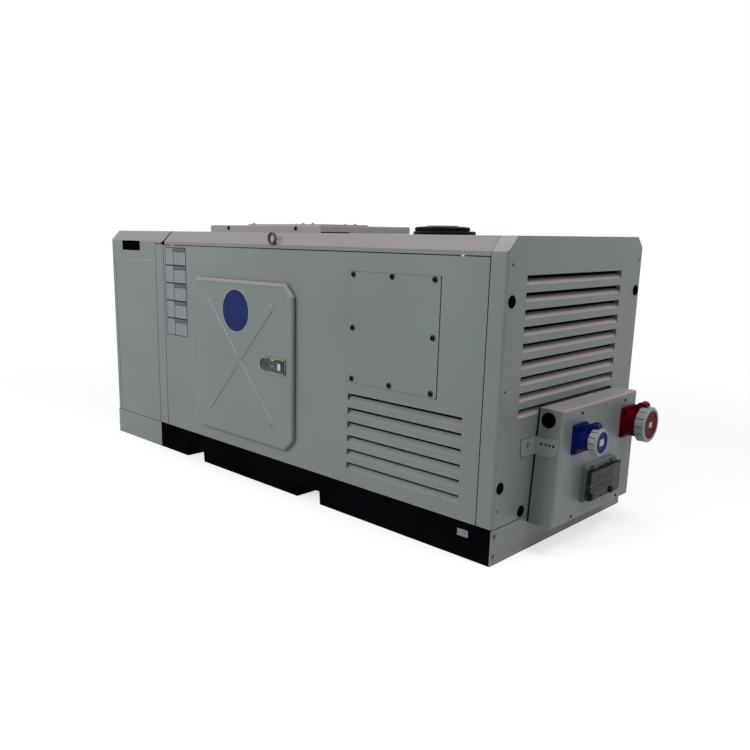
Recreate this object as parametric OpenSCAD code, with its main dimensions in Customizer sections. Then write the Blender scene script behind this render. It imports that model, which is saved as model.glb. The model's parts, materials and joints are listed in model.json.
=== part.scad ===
// Enclosed diesel generator set on a fork-pocket skid, with a socket box on its right end.
// X runs along the set towards the socket end, Y across it towards the rear, Z up.
// The origin is on the ground under the middle of the canopy. All sizes are millimetres.

/* [Canopy] */
// Length of the canopy, end panel to end panel
canopy_l = 2010; // [1900:10:2600]
// Width of the canopy over its side panels
canopy_w = 780; // [680:10:1000]
// Height of the canopy above the ground
canopy_h = 900; // [860:10:1150]
// Size of the bevel along the long top edges
top_bevel = 40; // [25:1:60]
// Thickness of the folded sheet
sheet = 2; // [1.5:0.1:3]
// Visible gap between neighbouring panels
seam = 3; // [2:0.5:5]
// Width of the tongues that back a seam
tongue = 22; // [15:1:30]

/* [Base] */
// Height of the skid base
base_h = 108; // [90:1:140]
// Set-back of the base behind the side panels
base_setback = 1; // [0.5:0.5:1.5]
// Width of a fork pocket
pocket_w = 115; // [90:1:160]
// Height of a fork pocket
pocket_h = 45; // [40:1:70]
// Middle of the left fork pocket
pocket_left_x = -401; // [-450:1:-350]
// Middle of the right fork pocket
pocket_right_x = 268; // [200:1:320]

/* [Left module] */
// Length of the left module, hood and skirt
left_l = 353; // [300:1:420]
// Width of the left end panel's folded edge
left_fold = 27; // [20:1:35]
// Height of the hood band
hood_h = 117; // [90:1:140]
// Width of the left corner posts
post_w = 58; // [45:1:80]
// Width of the rubber strip between hood and roof
hood_seal_w = 9; // [5:1:14]

/* [Right end] */
// Width of the right end panel's folded edge
right_fold = 51; // [40:1:60]
// Bend radius at the end panels' upright edges
bend_r = 8; // [4:1:12]
// Height of the roof's side lip
lip_h = 12; // [8:1:20]

/* [Louvres] */
// Distance from one side louvre to the next
side_pitch = 37; // [32:1:45]
// Number of side louvres
side_count = 6; // [4:1:8]
// Length of a side louvre
side_louvre_l = 442; // [300:1:500]
// Distance from one end louvre to the next
end_pitch = 45.6; // [40:0.1:50]
// Number of end louvres
end_count = 9; // [6:1:10]
// Length of an end louvre
end_louvre_l = 547; // [450:1:600]
// Height of a louvre opening
louvre_h = 25; // [18:1:30]
// Depth that a louvre blade is pressed inwards
louvre_d = 16; // [8:1:18]
// Height of the slit above a louvre blade
louvre_gap = 10; // [6:1:12]

/* [Door] */
// Left edge of the door
door_x = -387; // [-420:1:-360]
// Width of the door
door_w = 588; // [500:1:600]
// Lower edge of the door
door_z = 157; // [140:1:200]
// Height of the door
door_h = 576; // [500:1:590]
// Cut across each door corner
door_corner = 40; // [25:1:60]
// How far the door stands out from the side
door_proud = 18; // [15:1:22]
// Width of the bevel around the door's face
door_bevel = 9; // [6:1:12]
// Overlap of the door on the edge of its opening
door_lap = 20.4; // [18:0.1:24]
// Gap between the door's edge and the side panel
door_gap = 4; // [3:0.5:6]
// Width of the pressed ribs that cross the door
rib_w = 34; // [20:1:50]
// Height of the pressed ribs
rib_h = 3; // [2:0.5:5]
// Reach of the ribs from the door's middle along the set
rib_reach_x = 192; // [120:1:210]
// Reach of the ribs from the door's middle up and down
rib_reach_z = 212; // [120:1:220]
// Radius of a hinge barrel
hinge_r = 5; // [5:0.5:8]
// Radius of a hinge pin
hinge_pin_r = 3; // [2.5:0.5:4]
// Radial running clearance in a hinge
hinge_play = 0.05; // [0.02:0.01:0.1]
// Length of half a hinge barrel
hinge_half = 40; // [25:1:50]

/* [Latch] */
// Length of the latch plate
latch_l = 138; // [110:1:160]
// Height of the latch plate
latch_h = 58; // [48:1:70]
// Middle of the latch along the set
latch_x = 102; // [80:1:108]
// Middle of the latch above the ground
latch_z = 451; // [400:1:500]

/* [Bolted cover] */
// Left edge of the bolted cover
cover_x = 443; // [430:1:470]
// Width of the bolted cover
cover_w = 354; // [300:1:400]
// Lower edge of the bolted cover
cover_z = 444; // [430:1:470]
// Height of the bolted cover
cover_h = 344; // [280:1:360]

/* [Roof] */
// Length of the raised roof panel
raised_l = 636; // [500:1:900]
// Width of the raised roof panel
raised_w = 480; // [400:10:520]
// Height of the raised roof panel
raised_h = 26; // [15:1:40]
// Length of the plate on the raised panel
hatch_l = 398; // [300:1:450]
// Width of the plate on the raised panel
hatch_w = 242; // [200:1:400]
// Diameter of the round cap
cap_d = 160; // [140:1:165]
// Diameter of the cap's flange
cap_flange_d = 182; // [180:1:220]
// Inner radius of a lifting eye
eye_r = 13; // [10:0.5:16]
// Thickness of a lifting eye's ring
eye_wire = 8; // [6:0.5:10]

/* [Socket box] */
// Width of the socket box
box_w = 453; // [440:1:520]
// Height of the socket box
box_h = 343; // [335:1:400]
// Depth of the socket box in front of the end panel
box_d = 81; // [70:1:120]
// Lower edge of the socket box
box_z = 85; // [70:1:110]
// Left side of the socket box across the set, at its top
box_y = -188; // [-220:1:-170]
// How far the left side of the box leans out at its foot
box_lean = 24; // [0:1:30]
// Gap between the socket box and the end panel
box_gap = 6; // [4:1:14]
// Set-back of the spacer frame behind the box's edge
box_inset = 34; // [20:1:50]

/* [Sockets] */
// Flange width of the blue socket
blue_flange = 80; // [75:1:90]
// Radius of the blue socket's locking ring
blue_ring_r = 39.5; // [34:0.5:42]
// Length of the blue socket's locking ring
blue_ring_l = 24; // [18:1:32]
// Flange width of the red socket
red_flange = 88; // [85:1:100]
// Radius of the red socket's locking ring
red_ring_r = 55; // [46:0.5:56]
// Length of the red socket's locking ring
red_ring_l = 28; // [20:1:36]
// Number of grip grooves around a locking ring
ring_grooves = 14; // [8:1:20]

/* [Breaker window] */
// Width of the breaker window's frame
window_w = 192; // [186:1:200]
// Height of the breaker window's frame
window_h = 110; // [106:1:120]
// Depth of the breaker window's frame
window_t = 13; // [10:1:18]
// Depth of the clear flap
flap_d = 15; // [12:1:22]

/* [Hidden] */
$fn = 48;

grey = [0.56, 0.58, 0.57];
black = [0.06, 0.06, 0.065];
rubber_black = [0.03, 0.03, 0.03];
metal = [0.75, 0.76, 0.78];
blue = [0.05, 0.12, 0.5];
red = [0.6, 0.04, 0.07];
white = [0.9, 0.9, 0.88];
frame_grey = [0.5, 0.51, 0.52];
smoke = [0.3, 0.36, 0.38, 0.5];
engine_green = [0.18, 0.22, 0.2];
alternator_grey = [0.3, 0.32, 0.33];

eps = 0.01;
bevel_tan = tan(22.5);                       // a 45 degree bevel moves its corners by this share
cut_share = 2 - sqrt(2);                     // a cut corner shrinks by this share of an inset

// canopy
half_l = canopy_l / 2;
half_w = canopy_w / 2;
left_x = -half_l;
module_x = left_x + left_l;                  // left module meets the corner post
panel_x = module_x + post_w;                 // corner post meets the side panel
roof_x = panel_x + hood_seal_w;              // roof starts behind the rubber strip
hoop_x = half_l - right_fold;                // side panel meets the right end panel
wall_end_x = hoop_x - seam;
hood_z = canopy_h - hood_h;
bevel_z = canopy_h - top_bevel;              // lower edge of the bevel
lip_z = bevel_z - lip_h;                     // lower edge of the roof's side lip
panel_top = lip_z - seam;
skin_y = half_w - sheet;                     // back face of a side panel
tongue_y = half_w - 2 * sheet;               // back face of a tongue behind it
hood_lap = 8;                                // the hood reaches below the bevel over the post
hood_corner_r = 24;                          // round lower corner of the hood over the post
post_top = bevel_z - hood_lap - seam;
pocket_taper = 4;                            // a fork pocket narrows upwards by this on each side

// louvres and vents
blade_h = louvre_h - louvre_gap;             // height of a louvre blade
side_louvre_x = 669;
side_louvre_top = 360;
end_louvre_y = -20;
end_louvre_drop = 102;                       // highest end louvre below the canopy's top
drain_x = [488, 748];                        // drain slots low in the side panels
drain_z = 152;
drain_l = 34;
drain_h = 6;
end_hole_y = 366;                            // screw holes beside the end louvres
end_hole_z = [827, 492, 157];
end_hole_r = 4;
cable_slot = [-233, 416];
cable_slot_l = 20;
cable_slot_h = 7;

// door
door_z1 = door_z + door_h;
door_x1 = door_x + door_w;
open_x0 = door_x + door_lap;
open_x1 = door_x1 - door_lap;
open_z0 = door_z + door_lap;
open_z1 = door_z1 - door_lap;
flange_d = 12;                               // fold around the doorway
fold_gap = 3;                                // the folds stop short of the doorway's corners
door_face = -half_w - door_proud;
door_edge = -half_w - door_gap;
pan_d = door_proud - door_gap;
rib_slope = 5;                               // width of a pressed rib's sloping side
seal_w = 10;
hinge_x = door_x - hinge_r - 1;
hinge_y = -half_w - door_gap / 2 - hinge_r - 1;
hinge_inset = 90;                            // hinge's middle from the door's end
hinge_z = [door_z + hinge_inset, door_z1 - hinge_inset];

// latch
paddle_h = 38;
paddle_l = 43;
paddle_t = 3;
paddle_curl = 4;                             // how far the paddle's free end curls out
paddle_pin_r = 1.5;
paddle_barrel_r = 3;
plate_t = 3;                                 // latch plate below its bevelled rim
rim_t = 1.5;
floor_t = 1.5;                               // bottom of the latch's dish
paddle_pivot_x = latch_x + latch_l / 2 - 10;
paddle_pivot_y = door_face - floor_t - 0.5 - paddle_barrel_r;
lock_x = latch_x + 2;
lock_z = latch_z + 9;
lock_r = 11;

// roof
raised_x = -479;
hatch_x = -245;
hatch_y = -235;
hatch_t = 4;
roof_slot = [-236, -93];                     // slot under the raised panel's right side
cap_x = 678;
cap_y = -240;
neck_x = cap_x + 8;
neck_h = 10;
eye_x = 85;
eye_z = bevel_z + top_bevel / 2 + 1;         // height of an eye's centre
eye_y = half_w + eye_wire / 2 + 1;           // the ring stands just outside the side's plane
eye_edge = 1;                                // rounding of the ring's edges

// plugs
plug_r = 17;
plug_t = 3;
plug_y = 361;
plug_high = 732;
plug_low = 223;
plug_extra = [-246, 129];
box_plug_r = 22;
box_plug_x = half_l + 36;
box_plug_z = 394;

// socket box
box_x0 = half_l + box_gap;
box_x1 = half_l + box_d;
box_y1 = box_y + box_w;
box_z1 = box_z + box_h;
cover_fold = 40;                             // depth of the cover's side folds
cover_bend = 6;
cover_cut = 4;
box_angle = atan(box_lean / box_h);
tab_y = -269;
tab_x = box_x1 - 9;
tab_z = 291;
tab_h = 52;
tab_cut = 12;

// sockets
lid_pin_r = 2;
lid_barrel_r = 4.5;
lid_barrel_l = 25;
lid_rise = 7;                                // hinge axis above the ring's rim
lug_y = 16;
mouth_d = 14;                                // depth of a socket's open mouth
mouth_wall = 4;
contact_r = 2.8;
ring_lap = 8;                                // length of the ring that reaches back over the body
groove_w = 3;
groove_d = 1.2;
blue_y = -96;
blue_z = 336;
blue_l = 56;
blue_body_r = blue_ring_r - 11.5;
blue_ring_w = 8;
red_y = 207;
red_z = 338;
red_l = 58;
red_body_r = red_ring_r - 15;
red_ring_w = 11;

// breaker window
window_y = 38;
window_z = 187;
window_rim = 14;
window_lug_r = 6.5;
window_lug_w = 6;
window_lugs = [-59, 59];
window_pin_r = 2;
flap_w = window_w - 4;
flap_z0 = window_z - window_h / 2 + 8;
flap_z1 = window_z + window_h / 2 - 11;
flap_h = flap_z1 - flap_z0;
flap_x = box_x1 + window_t + 0.5;
flap_wall = 2.5;
flap_pivot_x = flap_x + 6;
flap_pivot_z = flap_z1 + 1 + window_lug_r;

// generator
floor_z = base_h;
crank_z = 300;
fan_z = 430;
fan_r = 180;

// ---- shared shapes ----

// Extrudes a (Y, Z) outline from x0 to x1.
module along_x(x0, x1) {
    translate([x0, 0, 0]) rotate([90, 0, 90]) linear_extrude(x1 - x0) children();
}

// Extrudes an (X, Z) outline from y0 to y1.
module along_y(y0, y1) {
    translate([0, y1, 0]) rotate([90, 0, 0]) linear_extrude(y1 - y0) children();
}

// Extrudes an (X, Y) outline from z0 to z1.
module along_z(z0, z1) {
    translate([0, 0, z0]) linear_extrude(z1 - z0) children();
}

// A box given by its lowest and highest corners.
module block(low, high) {
    translate(low) cube(high - low);
}

// A cylinder of radius r and length l from a point, along +X or along +Y.
module rod_x(p, r, l) { translate(p) rotate([0, 90, 0]) cylinder(h = l, r = r); }
module rod_y(p, r, l) { translate(p) rotate([-90, 0, 0]) cylinder(h = l, r = r); }

// Cross-section of the canopy, drawn in by t all round and cut off below z0.
module canopy_section(t, z0) {
    side = half_w - t;
    shoulder = bevel_z - t * bevel_tan;
    top = half_w - top_bevel - t * bevel_tan;
    polygon([[-side, z0], [-side, shoulder], [-top, canopy_h - t],
             [top, canopy_h - t], [side, shoulder], [side, z0]]);
}

// Skin of the canopy between the depths t0 and t1, above z0.
module canopy_skin(t0, t1, z0) {
    difference() {
        canopy_section(t0, z0);
        canopy_section(t1, z0 - 1);
    }
}

// The parts of a skin that lie within reach of height z on both sides.
module side_bands(z, reach) {
    for (side = [-1, 1])
        translate([side * half_w, z]) square([8 * sheet, 2 * reach], center = true);
}

// Corners of a rectangle with cut corners, from corner (x, z).
function cut_corners(x, z, w, h, cut) =
    [[x + cut, z], [x + w - cut, z], [x + w, z + cut], [x + w, z + h - cut],
     [x + w - cut, z + h], [x + cut, z + h], [x, z + h - cut], [x, z + cut]];

module cut_rect(x, z, w, h, cut) {
    polygon(cut_corners(x, z, w, h, cut));
}

// Rectangle with round corners, from corner (x, z), made of exact arcs.
module round_rect(x, z, w, h, r) {
    translate([x + r, z]) square([w - 2 * r, h]);
    translate([x, z + r]) square([w, h - 2 * r]);
    for (cx = [x + r, x + w - r], cz = [z + r, z + h - r])
        translate([cx, cz]) circle(r);
}

// Thin slice of a pan at height z: a w by h outline with cut corners, drawn in by inset.
// Its left side leans out by lean at its foot.
module pan_slice(w, h, cut, inset, z, lean) {
    corners = cut_corners(inset, inset, w - 2 * inset, h - 2 * inset, cut - inset * cut_share);
    translate([0, 0, z]) linear_extrude(eps)
        polygon([for (p = corners) p - [p[0] < w / 2 ? lean * (1 - p[1] / h) : 0, 0]]);
}

// Solid form of a sheet pan drawn in by t: w by h, its face at height d, bend radius r.
module pan_form(w, h, d, cut, r, t, lean = 0) {
    hull() {
        pan_slice(w, h, cut, t, t > 0 ? -1 : 0, lean);
        for (a = [0 : 30 : 90])
            pan_slice(w, h, cut, t + (r - t) * (1 - sin(a)), d - t - (r - t) * (1 - cos(a)) - eps, lean);
    }
}

// ---- louvres ----

// Section of one pressed-in louvre blade, (depth inwards, height) from its lower edge.
module louvre_section() {
    polygon([[0, 0], [louvre_d - sheet, blade_h], [louvre_d, blade_h], [sheet, 0]]);
}

// Closed end of a louvre.
module louvre_end_section() {
    polygon([[0, 0], [louvre_d, blade_h], [louvre_d, louvre_h - 2], [0, louvre_h]]);
}

// One louvre on a wall whose outer face is X = 0, looking towards +X, centred on Y.
module louvre(l) {
    rotate([90, 0, 0]) translate([0, 0, -l / 2]) linear_extrude(l)
        mirror([1, 0]) louvre_section();
    for (side = [-1, 1])
        translate([0, side * (l / 2 + sheet / 2), 0]) rotate([90, 0, 0])
            translate([0, 0, -sheet / 2]) linear_extrude(sheet)
                mirror([1, 0]) louvre_end_section();
}

// Opening that a louvre needs in its wall, same place.
module louvre_slot(l) {
    block([-sheet - 1, -l / 2, 0], [1, l / 2, louvre_h]);
}

// A bank of louvres of length l in a wall facing +X at X = x, with the upper edges at tops.
module louvre_bank(x, y, tops, l) {
    difference() {
        union() {
            children();
            for (z = tops) translate([x, y, z - louvre_h]) louvre(l);
        }
        for (z = tops) translate([x, y, z - louvre_h]) difference() {
            louvre_slot(l);
            louvre(l);
        }
    }
}

side_tops = [for (i = [0 : side_count - 1]) side_louvre_top - i * side_pitch];
end_tops = [for (i = [0 : end_count - 1]) canopy_h - end_louvre_drop - i * end_pitch];

// ---- base ----

module base_frame() {
    y = half_w - base_setback;
    low = pocket_w / 2;
    high = low - pocket_taper;
    color(black) difference() {
        block([module_x, -y, 0], [half_l - sheet, y, base_h]);
        for (x = [pocket_left_x, pocket_right_x]) along_y(-half_w, half_w)
            polygon([[x - low, -1], [x + low, -1], [x + high, pocket_h], [x - high, pocket_h]]);
    }
}

module base_end_plate() {
    color(grey) block([half_l - sheet, -half_w, 0], [half_l, half_w, base_h - seam]);
}

// ---- left module ----

module left_skirt() {
    color(grey) block([left_x, -half_w, 0], [module_x, half_w, base_h - seam]);
}

// (X, Z) outline of the hood's end over the post, with its round lower corner.
module hood_end() {
    x0 = module_x - seam;
    z0 = bevel_z - hood_lap;
    r = hood_corner_r;
    translate([x0, z0]) square([panel_x - x0 - r, canopy_h + 1 - z0]);
    translate([x0, z0 + r]) square([panel_x - x0, canopy_h + 1 - z0 - r]);
    translate([panel_x - r, z0 + r]) circle(r);
}

module left_hood() {
    color(grey) {
        along_x(left_x + left_fold, module_x - seam) canopy_skin(0, sheet, hood_z);
        intersection() {
            along_x(module_x - seam, panel_x) canopy_skin(0, sheet, bevel_z - hood_lap);
            along_y(-half_w - 1, half_w + 1) hood_end();
        }
        along_x(left_x + left_fold + tongue, module_x - tongue) intersection() {
            canopy_skin(sheet, 2 * sheet, hood_z - tongue);
            side_bands(hood_z, tongue);
        }
    }
}

module left_side_panel(side) {
    y0 = side < 0 ? -half_w : skin_y;
    color(grey) block([left_x + left_fold + seam, y0, base_h],
                      [module_x - seam, y0 + sheet, hood_z - seam]);
}
module left_front_panel() { left_side_panel(-1); }
module left_rear_panel() { left_side_panel(1); }

// Solid form of an end tray facing +X, drawn in by t, from x0 to its face and above z0.
module end_form(t, x0, z0) {
    bend_y = half_w - bend_r;
    intersection() {
        along_x(x0, half_l - t) canopy_section(t, z0);
        along_z(z0, canopy_h) {
            translate([x0, t - half_w]) square([half_l - bend_r - x0, canopy_w - 2 * t]);
            translate([x0, -bend_y]) square([half_l - t - x0, 2 * bend_y]);
            for (side = [-1, 1]) translate([half_l - bend_r, side * bend_y]) circle(bend_r - t);
        }
    }
}

// End panel facing +X: a tray with bent upright edges, a backing tongue and a louvre bank.
module end_panel(fold, louvre_y) {
    rim = half_l - fold;
    louvre_bank(half_l, louvre_y, end_tops, end_louvre_l) {
        difference() {
            end_form(0, rim, base_h);
            end_form(sheet, rim - 1, base_h - 1);
        }
        along_x(rim - tongue, rim + sheet) canopy_skin(sheet, 2 * sheet, base_h);
    }
}

module left_end_panel() {
    color(grey) mirror([1, 0, 0]) end_panel(left_fold, 0);
}

module left_post(side) {
    y0 = side < 0 ? -half_w : skin_y;
    back = side < 0 ? -skin_y : tongue_y;
    color(grey) {
        block([module_x, y0, base_h], [panel_x - seam, y0 + sheet, post_top]);
        block([module_x - tongue, back, base_h], [panel_x + tongue, back + sheet, hood_z - tongue - seam]);
    }
}
module front_left_post() { left_post(-1); }
module rear_left_post() { left_post(1); }

// Rubber strip between hood and roof, filling the hood's round corner.
module hood_seal() {
    color(rubber_black) difference() {
        along_x(panel_x - hood_corner_r, roof_x) canopy_skin(sheet / 2, 3 * sheet, bevel_z - hood_lap);
        along_y(-half_w - 1, half_w + 1) hood_end();
    }
}

// ---- roof ----

module roof() {
    color(grey) {
        along_x(roof_x, hoop_x - seam / 2) canopy_skin(0, sheet, lip_z);
        along_x(roof_x, hoop_x - tongue) intersection() {
            canopy_skin(sheet, 2 * sheet, panel_top - tongue);
            side_bands(lip_z, tongue);
        }
    }
}

// Raised cover on the roof: a bent pan with a plate on its front right part.
module roof_panel() {
    right_x = raised_x + raised_l;
    color(grey) {
        translate([raised_x, -raised_w / 2, canopy_h]) difference() {
            pan_form(raised_l, raised_w, raised_h, 3, 4, 0);
            pan_form(raised_l, raised_w, raised_h, 3, 4, sheet);
            translate([raised_l - 2 * sheet, roof_slot[0] + raised_w / 2, -1])
                cube([3 * sheet, roof_slot[1] - roof_slot[0], 5]);
        }
        along_z(canopy_h + raised_h - eps, canopy_h + raised_h + hatch_t)
            round_rect(hatch_x, hatch_y, min(hatch_l, right_x - hatch_x - 4), hatch_w, 6);
    }
}

module filler_neck() {
    r = cap_flange_d / 2;
    color(black) translate([neck_x, cap_y, canopy_h]) rotate_extrude()
        polygon([[0, 0], [r, 0], [r, neck_h - 3], [r - 3, neck_h], [0, neck_h]]);
}

// Low domed cap.
module filler_cap() {
    r = cap_d / 2;
    dome = [for (i = [0 : 6]) [(r - 5) * (6 - i) / 6, 12 + 3 * (1 - pow((6 - i) / 6, 2))]];
    color(black) translate([cap_x, cap_y, canopy_h + neck_h]) rotate_extrude()
        polygon(concat([[0, 0], [r - 2, 0], [r, 2], [r, 8], [r - 1.5, 11]], dome));
}

module lifting_eyes() {
    color(metal) for (side = [-1, 1]) translate([eye_x, side * eye_y, eye_z]) {
        rotate([90, 0, 0]) rotate_extrude()
            translate([eye_r, -eye_wire / 2]) round_rect(0, 0, eye_wire, eye_wire, eye_edge);
        difference() {
            block([-11, min(0, -side * 14), -eye_r - eye_wire], [11, max(0, -side * 14), -eye_r - 2]);
            rotate([90, 0, 0]) cylinder(h = 60, r = eye_r + eye_wire / 2, center = true);
            translate([-eye_x, -side * eye_y, -eye_z]) along_x(eye_x - 20, eye_x + 20) canopy_section(0, 0);
        }
    }
}

// ---- front side ----

// Flat part of the front wall.
module front_sheet(x0, x1, z0, z1) {
    block([x0, -half_w, z0], [x1, -skin_y, z1]);
}

// Fold along the doorway, inwards from the wall.
module doorway_fold(x0, x1, z0, z1) {
    block([x0, -half_w, z0], [x1, -half_w + flange_d, z1]);
}

module front_panel_left() {
    color(grey) {
        front_sheet(panel_x, open_x0, base_h, panel_top);
        doorway_fold(open_x0 - sheet, open_x0, open_z0 + fold_gap, open_z1 - fold_gap);
    }
}

module door_header() {
    color(grey) {
        front_sheet(open_x0, open_x1, open_z1, panel_top);
        doorway_fold(open_x0 + fold_gap, open_x1 - fold_gap, open_z1, open_z1 + sheet);
    }
}

module door_sill() {
    color(grey) {
        front_sheet(open_x0, open_x1, base_h, open_z0);
        doorway_fold(open_x0 + fold_gap, open_x1 - fold_gap, open_z0 - sheet, open_z0);
    }
}

// A side wall with its louvre bank and drain slots, facing -Y, from x0 to x1.
module louvred_side(x0, x1) {
    difference() {
        rotate([0, 0, -90]) louvre_bank(half_w, side_louvre_x, side_tops, side_louvre_l)
            rotate([0, 0, 90]) front_sheet(x0, x1, base_h, panel_top);
        for (x = drain_x) along_y(-half_w - 1, -half_w + 3 * sheet)
            round_rect(x - drain_l / 2, drain_z - drain_h / 2, drain_l, drain_h, drain_h / 2 - 0.1);
    }
}

module front_panel_right() {
    color(grey) {
        louvred_side(open_x1, wall_end_x);
        doorway_fold(open_x1, open_x1 + sheet, open_z0 + fold_gap, open_z1 - fold_gap);
    }
}

module front_cover() {
    color(grey) along_y(-half_w - sheet, -half_w) round_rect(cover_x, cover_z, cover_w, cover_h, 6);
}

// ---- door ----

// Pressed rib across the door's middle, drawn in by t; turn is -1 or 1.
module door_rib(turn, t) {
    l = 2 * norm([rib_reach_x, rib_reach_z]) - 2 * t;
    w = rib_w - 2 * t;
    rotate(turn * atan2(rib_reach_z, rib_reach_x)) hull() {
        translate([-l / 2, -w / 2, -sheet - (t > 0 ? 1 : 0)]) linear_extrude(eps)
            cut_rect(0, 0, l, w, w / 4);
        translate([-l / 2 + rib_slope, -w / 2 + rib_slope, rib_h - t - eps]) linear_extrude(eps)
            cut_rect(0, 0, l - 2 * rib_slope, w - 2 * rib_slope, w / 6);
    }
}

// Door leaf facing -Y: a pan with bent edges, cut corners and two pressed ribs.
module door_leaf() {
    translate([door_x, door_edge, door_z]) rotate([90, 0, 0]) difference() {
        union() {
            pan_form(door_w, door_h, pan_d, door_corner, door_bevel, 0);
            for (turn = [-1, 1]) translate([door_w / 2, door_h / 2, pan_d]) door_rib(turn, 0);
        }
        pan_form(door_w, door_h, pan_d, door_corner, door_bevel, sheet);
        for (turn = [-1, 1]) translate([door_w / 2, door_h / 2, pan_d]) door_rib(turn, sheet);
    }
}

module front_door() {
    color(grey) door_leaf();
}

// Outline of the latch plate drawn in by t: round at its left end, square at its right.
module latch_outline(t) {
    r = latch_h / 2 - t;
    mid_x = latch_x - latch_l / 2 + latch_h / 2;
    right_x = latch_x + latch_l / 2 - t;
    translate([mid_x, latch_z]) circle(r);
    translate([mid_x, latch_z - r]) square([right_x - mid_x - 10, 2 * r]);
    round_rect(mid_x + 20, latch_z - r, right_x - mid_x - 20, 2 * r, 4);
}

module latch_plate() {
    rim_y = door_face - plate_t - rim_t;
    color(metal) {
        difference() {
            union() {
                along_y(door_face - plate_t, door_face) latch_outline(0);
                along_y(rim_y, door_face - plate_t) latch_outline(rim_t);
            }
            along_y(rim_y - 1, door_face - floor_t) latch_outline(5);
        }
        difference() {
            union() {
                rod_y([lock_x, door_face - 8, lock_z], lock_r, 8);
                rod_y([lock_x, door_face - 5, lock_z], lock_r + 2, 5);
            }
            block([lock_x - 1, door_face - 9, lock_z - 5], [lock_x + 1, door_face - 6, lock_z + 5]);
        }
        for (side = [-1, 1])
            translate([paddle_pivot_x, 0, latch_z + side * (paddle_h / 2 + 2.5)])
                block([-3, paddle_pivot_y - 3, -2], [3, door_face - floor_t / 2, 2]);
        translate([paddle_pivot_x, paddle_pivot_y, latch_z - paddle_h / 2 - 2])
            cylinder(h = paddle_h + 4, r = paddle_pin_r);
    }
}

// Paddle of the latch: a curled plate on a barrel.
module latch_paddle() {
    curve = [for (i = [0 : 6]) [-paddle_l * i / 6, -paddle_curl * pow(i / 6, 2)]];
    back = [for (i = [6 : -1 : 0]) curve[i] + [0, paddle_t]];
    color(metal) translate([paddle_pivot_x, paddle_pivot_y, latch_z - paddle_h / 2]) difference() {
        union() {
            cylinder(h = paddle_h, r = paddle_barrel_r);
            translate([0, -paddle_barrel_r, 0]) linear_extrude(paddle_h) polygon(concat(curve, back));
        }
        translate([0, 0, -1]) cylinder(h = paddle_h + 2, r = paddle_pin_r + hinge_play);
    }
}

// Lower half of each hinge: a barrel with its pin, webbed to the side panel.
module hinge_pintles() {
    color(grey) for (z = hinge_z) {
        translate([hinge_x, hinge_y, z - hinge_half]) cylinder(h = hinge_half, r = hinge_r);
        translate([hinge_x, hinge_y, z - 1]) cylinder(h = hinge_half - 4, r = hinge_pin_r);
        block([hinge_x - 3, hinge_y, z - hinge_half], [hinge_x + 3, -half_w, z - 1]);
    }
}

// Upper half of each hinge: a bored barrel on the door's edge.
module hinge_knuckles() {
    color(grey) for (z = hinge_z) difference() {
        union() {
            translate([hinge_x, hinge_y, z + 0.5]) cylinder(h = hinge_half, r = hinge_r);
            block([hinge_x, hinge_y - 1, z + 0.5], [door_x, hinge_y + 2.5, z + hinge_half]);
        }
        translate([hinge_x, hinge_y, z]) cylinder(h = hinge_half - 3, r = hinge_pin_r + hinge_play);
    }
}

// Foam strip in the door's pan, resting on the wall around the doorway.
module door_seal() {
    in = door_bevel + 1;
    w = door_w - 2 * in;
    h = door_h - 2 * in;
    cut = door_corner - in * cut_share;
    color(rubber_black) along_y(door_face + sheet, -half_w - 0.3) difference() {
        cut_rect(door_x + in, door_z + in, w, h, cut);
        cut_rect(door_x + in + seal_w, door_z + in + seal_w, w - 2 * seal_w, h - 2 * seal_w,
                 cut - seal_w * cut_share);
    }
}

// ---- rear side ----

module rear_panel() {
    color(grey) mirror([0, 1, 0]) louvred_side(panel_x, wall_end_x);
}

module rear_door() {
    color(grey) mirror([0, 1, 0]) translate([0, door_gap, 0]) door_leaf();
}

// ---- right end ----

module right_end_panel() {
    color(grey) difference() {
        end_panel(right_fold, end_louvre_y);
        for (side = [-1, 1], z = end_hole_z)
            rod_x([half_l - 3 * sheet, side * end_hole_y, z], end_hole_r, 4 * sheet);
        along_x(half_l - 3 * sheet, half_l + 1)
            round_rect(cable_slot[0] - cable_slot_l / 2, cable_slot[1] - cable_slot_h / 2,
                       cable_slot_l, cable_slot_h, cable_slot_h / 2 - 0.1);
    }
}

// Blanking plug of radius r, low and domed, facing +Z.
module plug(r) {
    rotate_extrude() polygon([[0, 0], [r, 0], [r, 1], [r - 2, plug_t - 0.5], [r / 2, plug_t], [0, plug_t]]);
}

module end_plugs() {
    places = concat([for (side = [-1, 1], z = [plug_high, plug_low]) [side * plug_y, z]], [plug_extra]);
    color(rubber_black) {
        for (p = places) translate([half_l, p[0], p[1]]) rotate([0, 90, 0]) plug(plug_r);
        translate([box_plug_x, box_left(box_plug_z), box_plug_z])
            rotate([90 - box_angle, 0, 0]) plug(box_plug_r);
    }
}

// ---- socket box ----

// Left side of the box at height z.
function box_left(z) = box_y - box_lean * (1 - (z - box_z) / box_h);

// Box body with its spacer, standing in for the hollow box behind the cover.
module socket_box() {
    low = box_z + sheet;
    high = box_z1 - sheet;
    right = box_y1 - sheet;
    color(grey) {
        along_x(box_x0, box_x1 - cover_fold)
            polygon([[box_left(low) + sheet, low], [right, low],
                     [right, high], [box_left(high) + sheet, high]]);
        block([half_l, box_y + box_inset, box_z + box_inset],
              [box_x0, box_y1 - box_inset, box_z1 - box_inset]);
    }
}

// Cover: a bent pan facing +X.
module socket_box_cover() {
    color(grey) translate([box_x1 - cover_fold, box_y, box_z]) rotate([90, 0, 90]) difference() {
        pan_form(box_w, box_h, cover_fold, cover_cut, cover_bend, 0, box_lean);
        pan_form(box_w, box_h, cover_fold, cover_cut, cover_bend, sheet, box_lean);
    }
}

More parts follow.
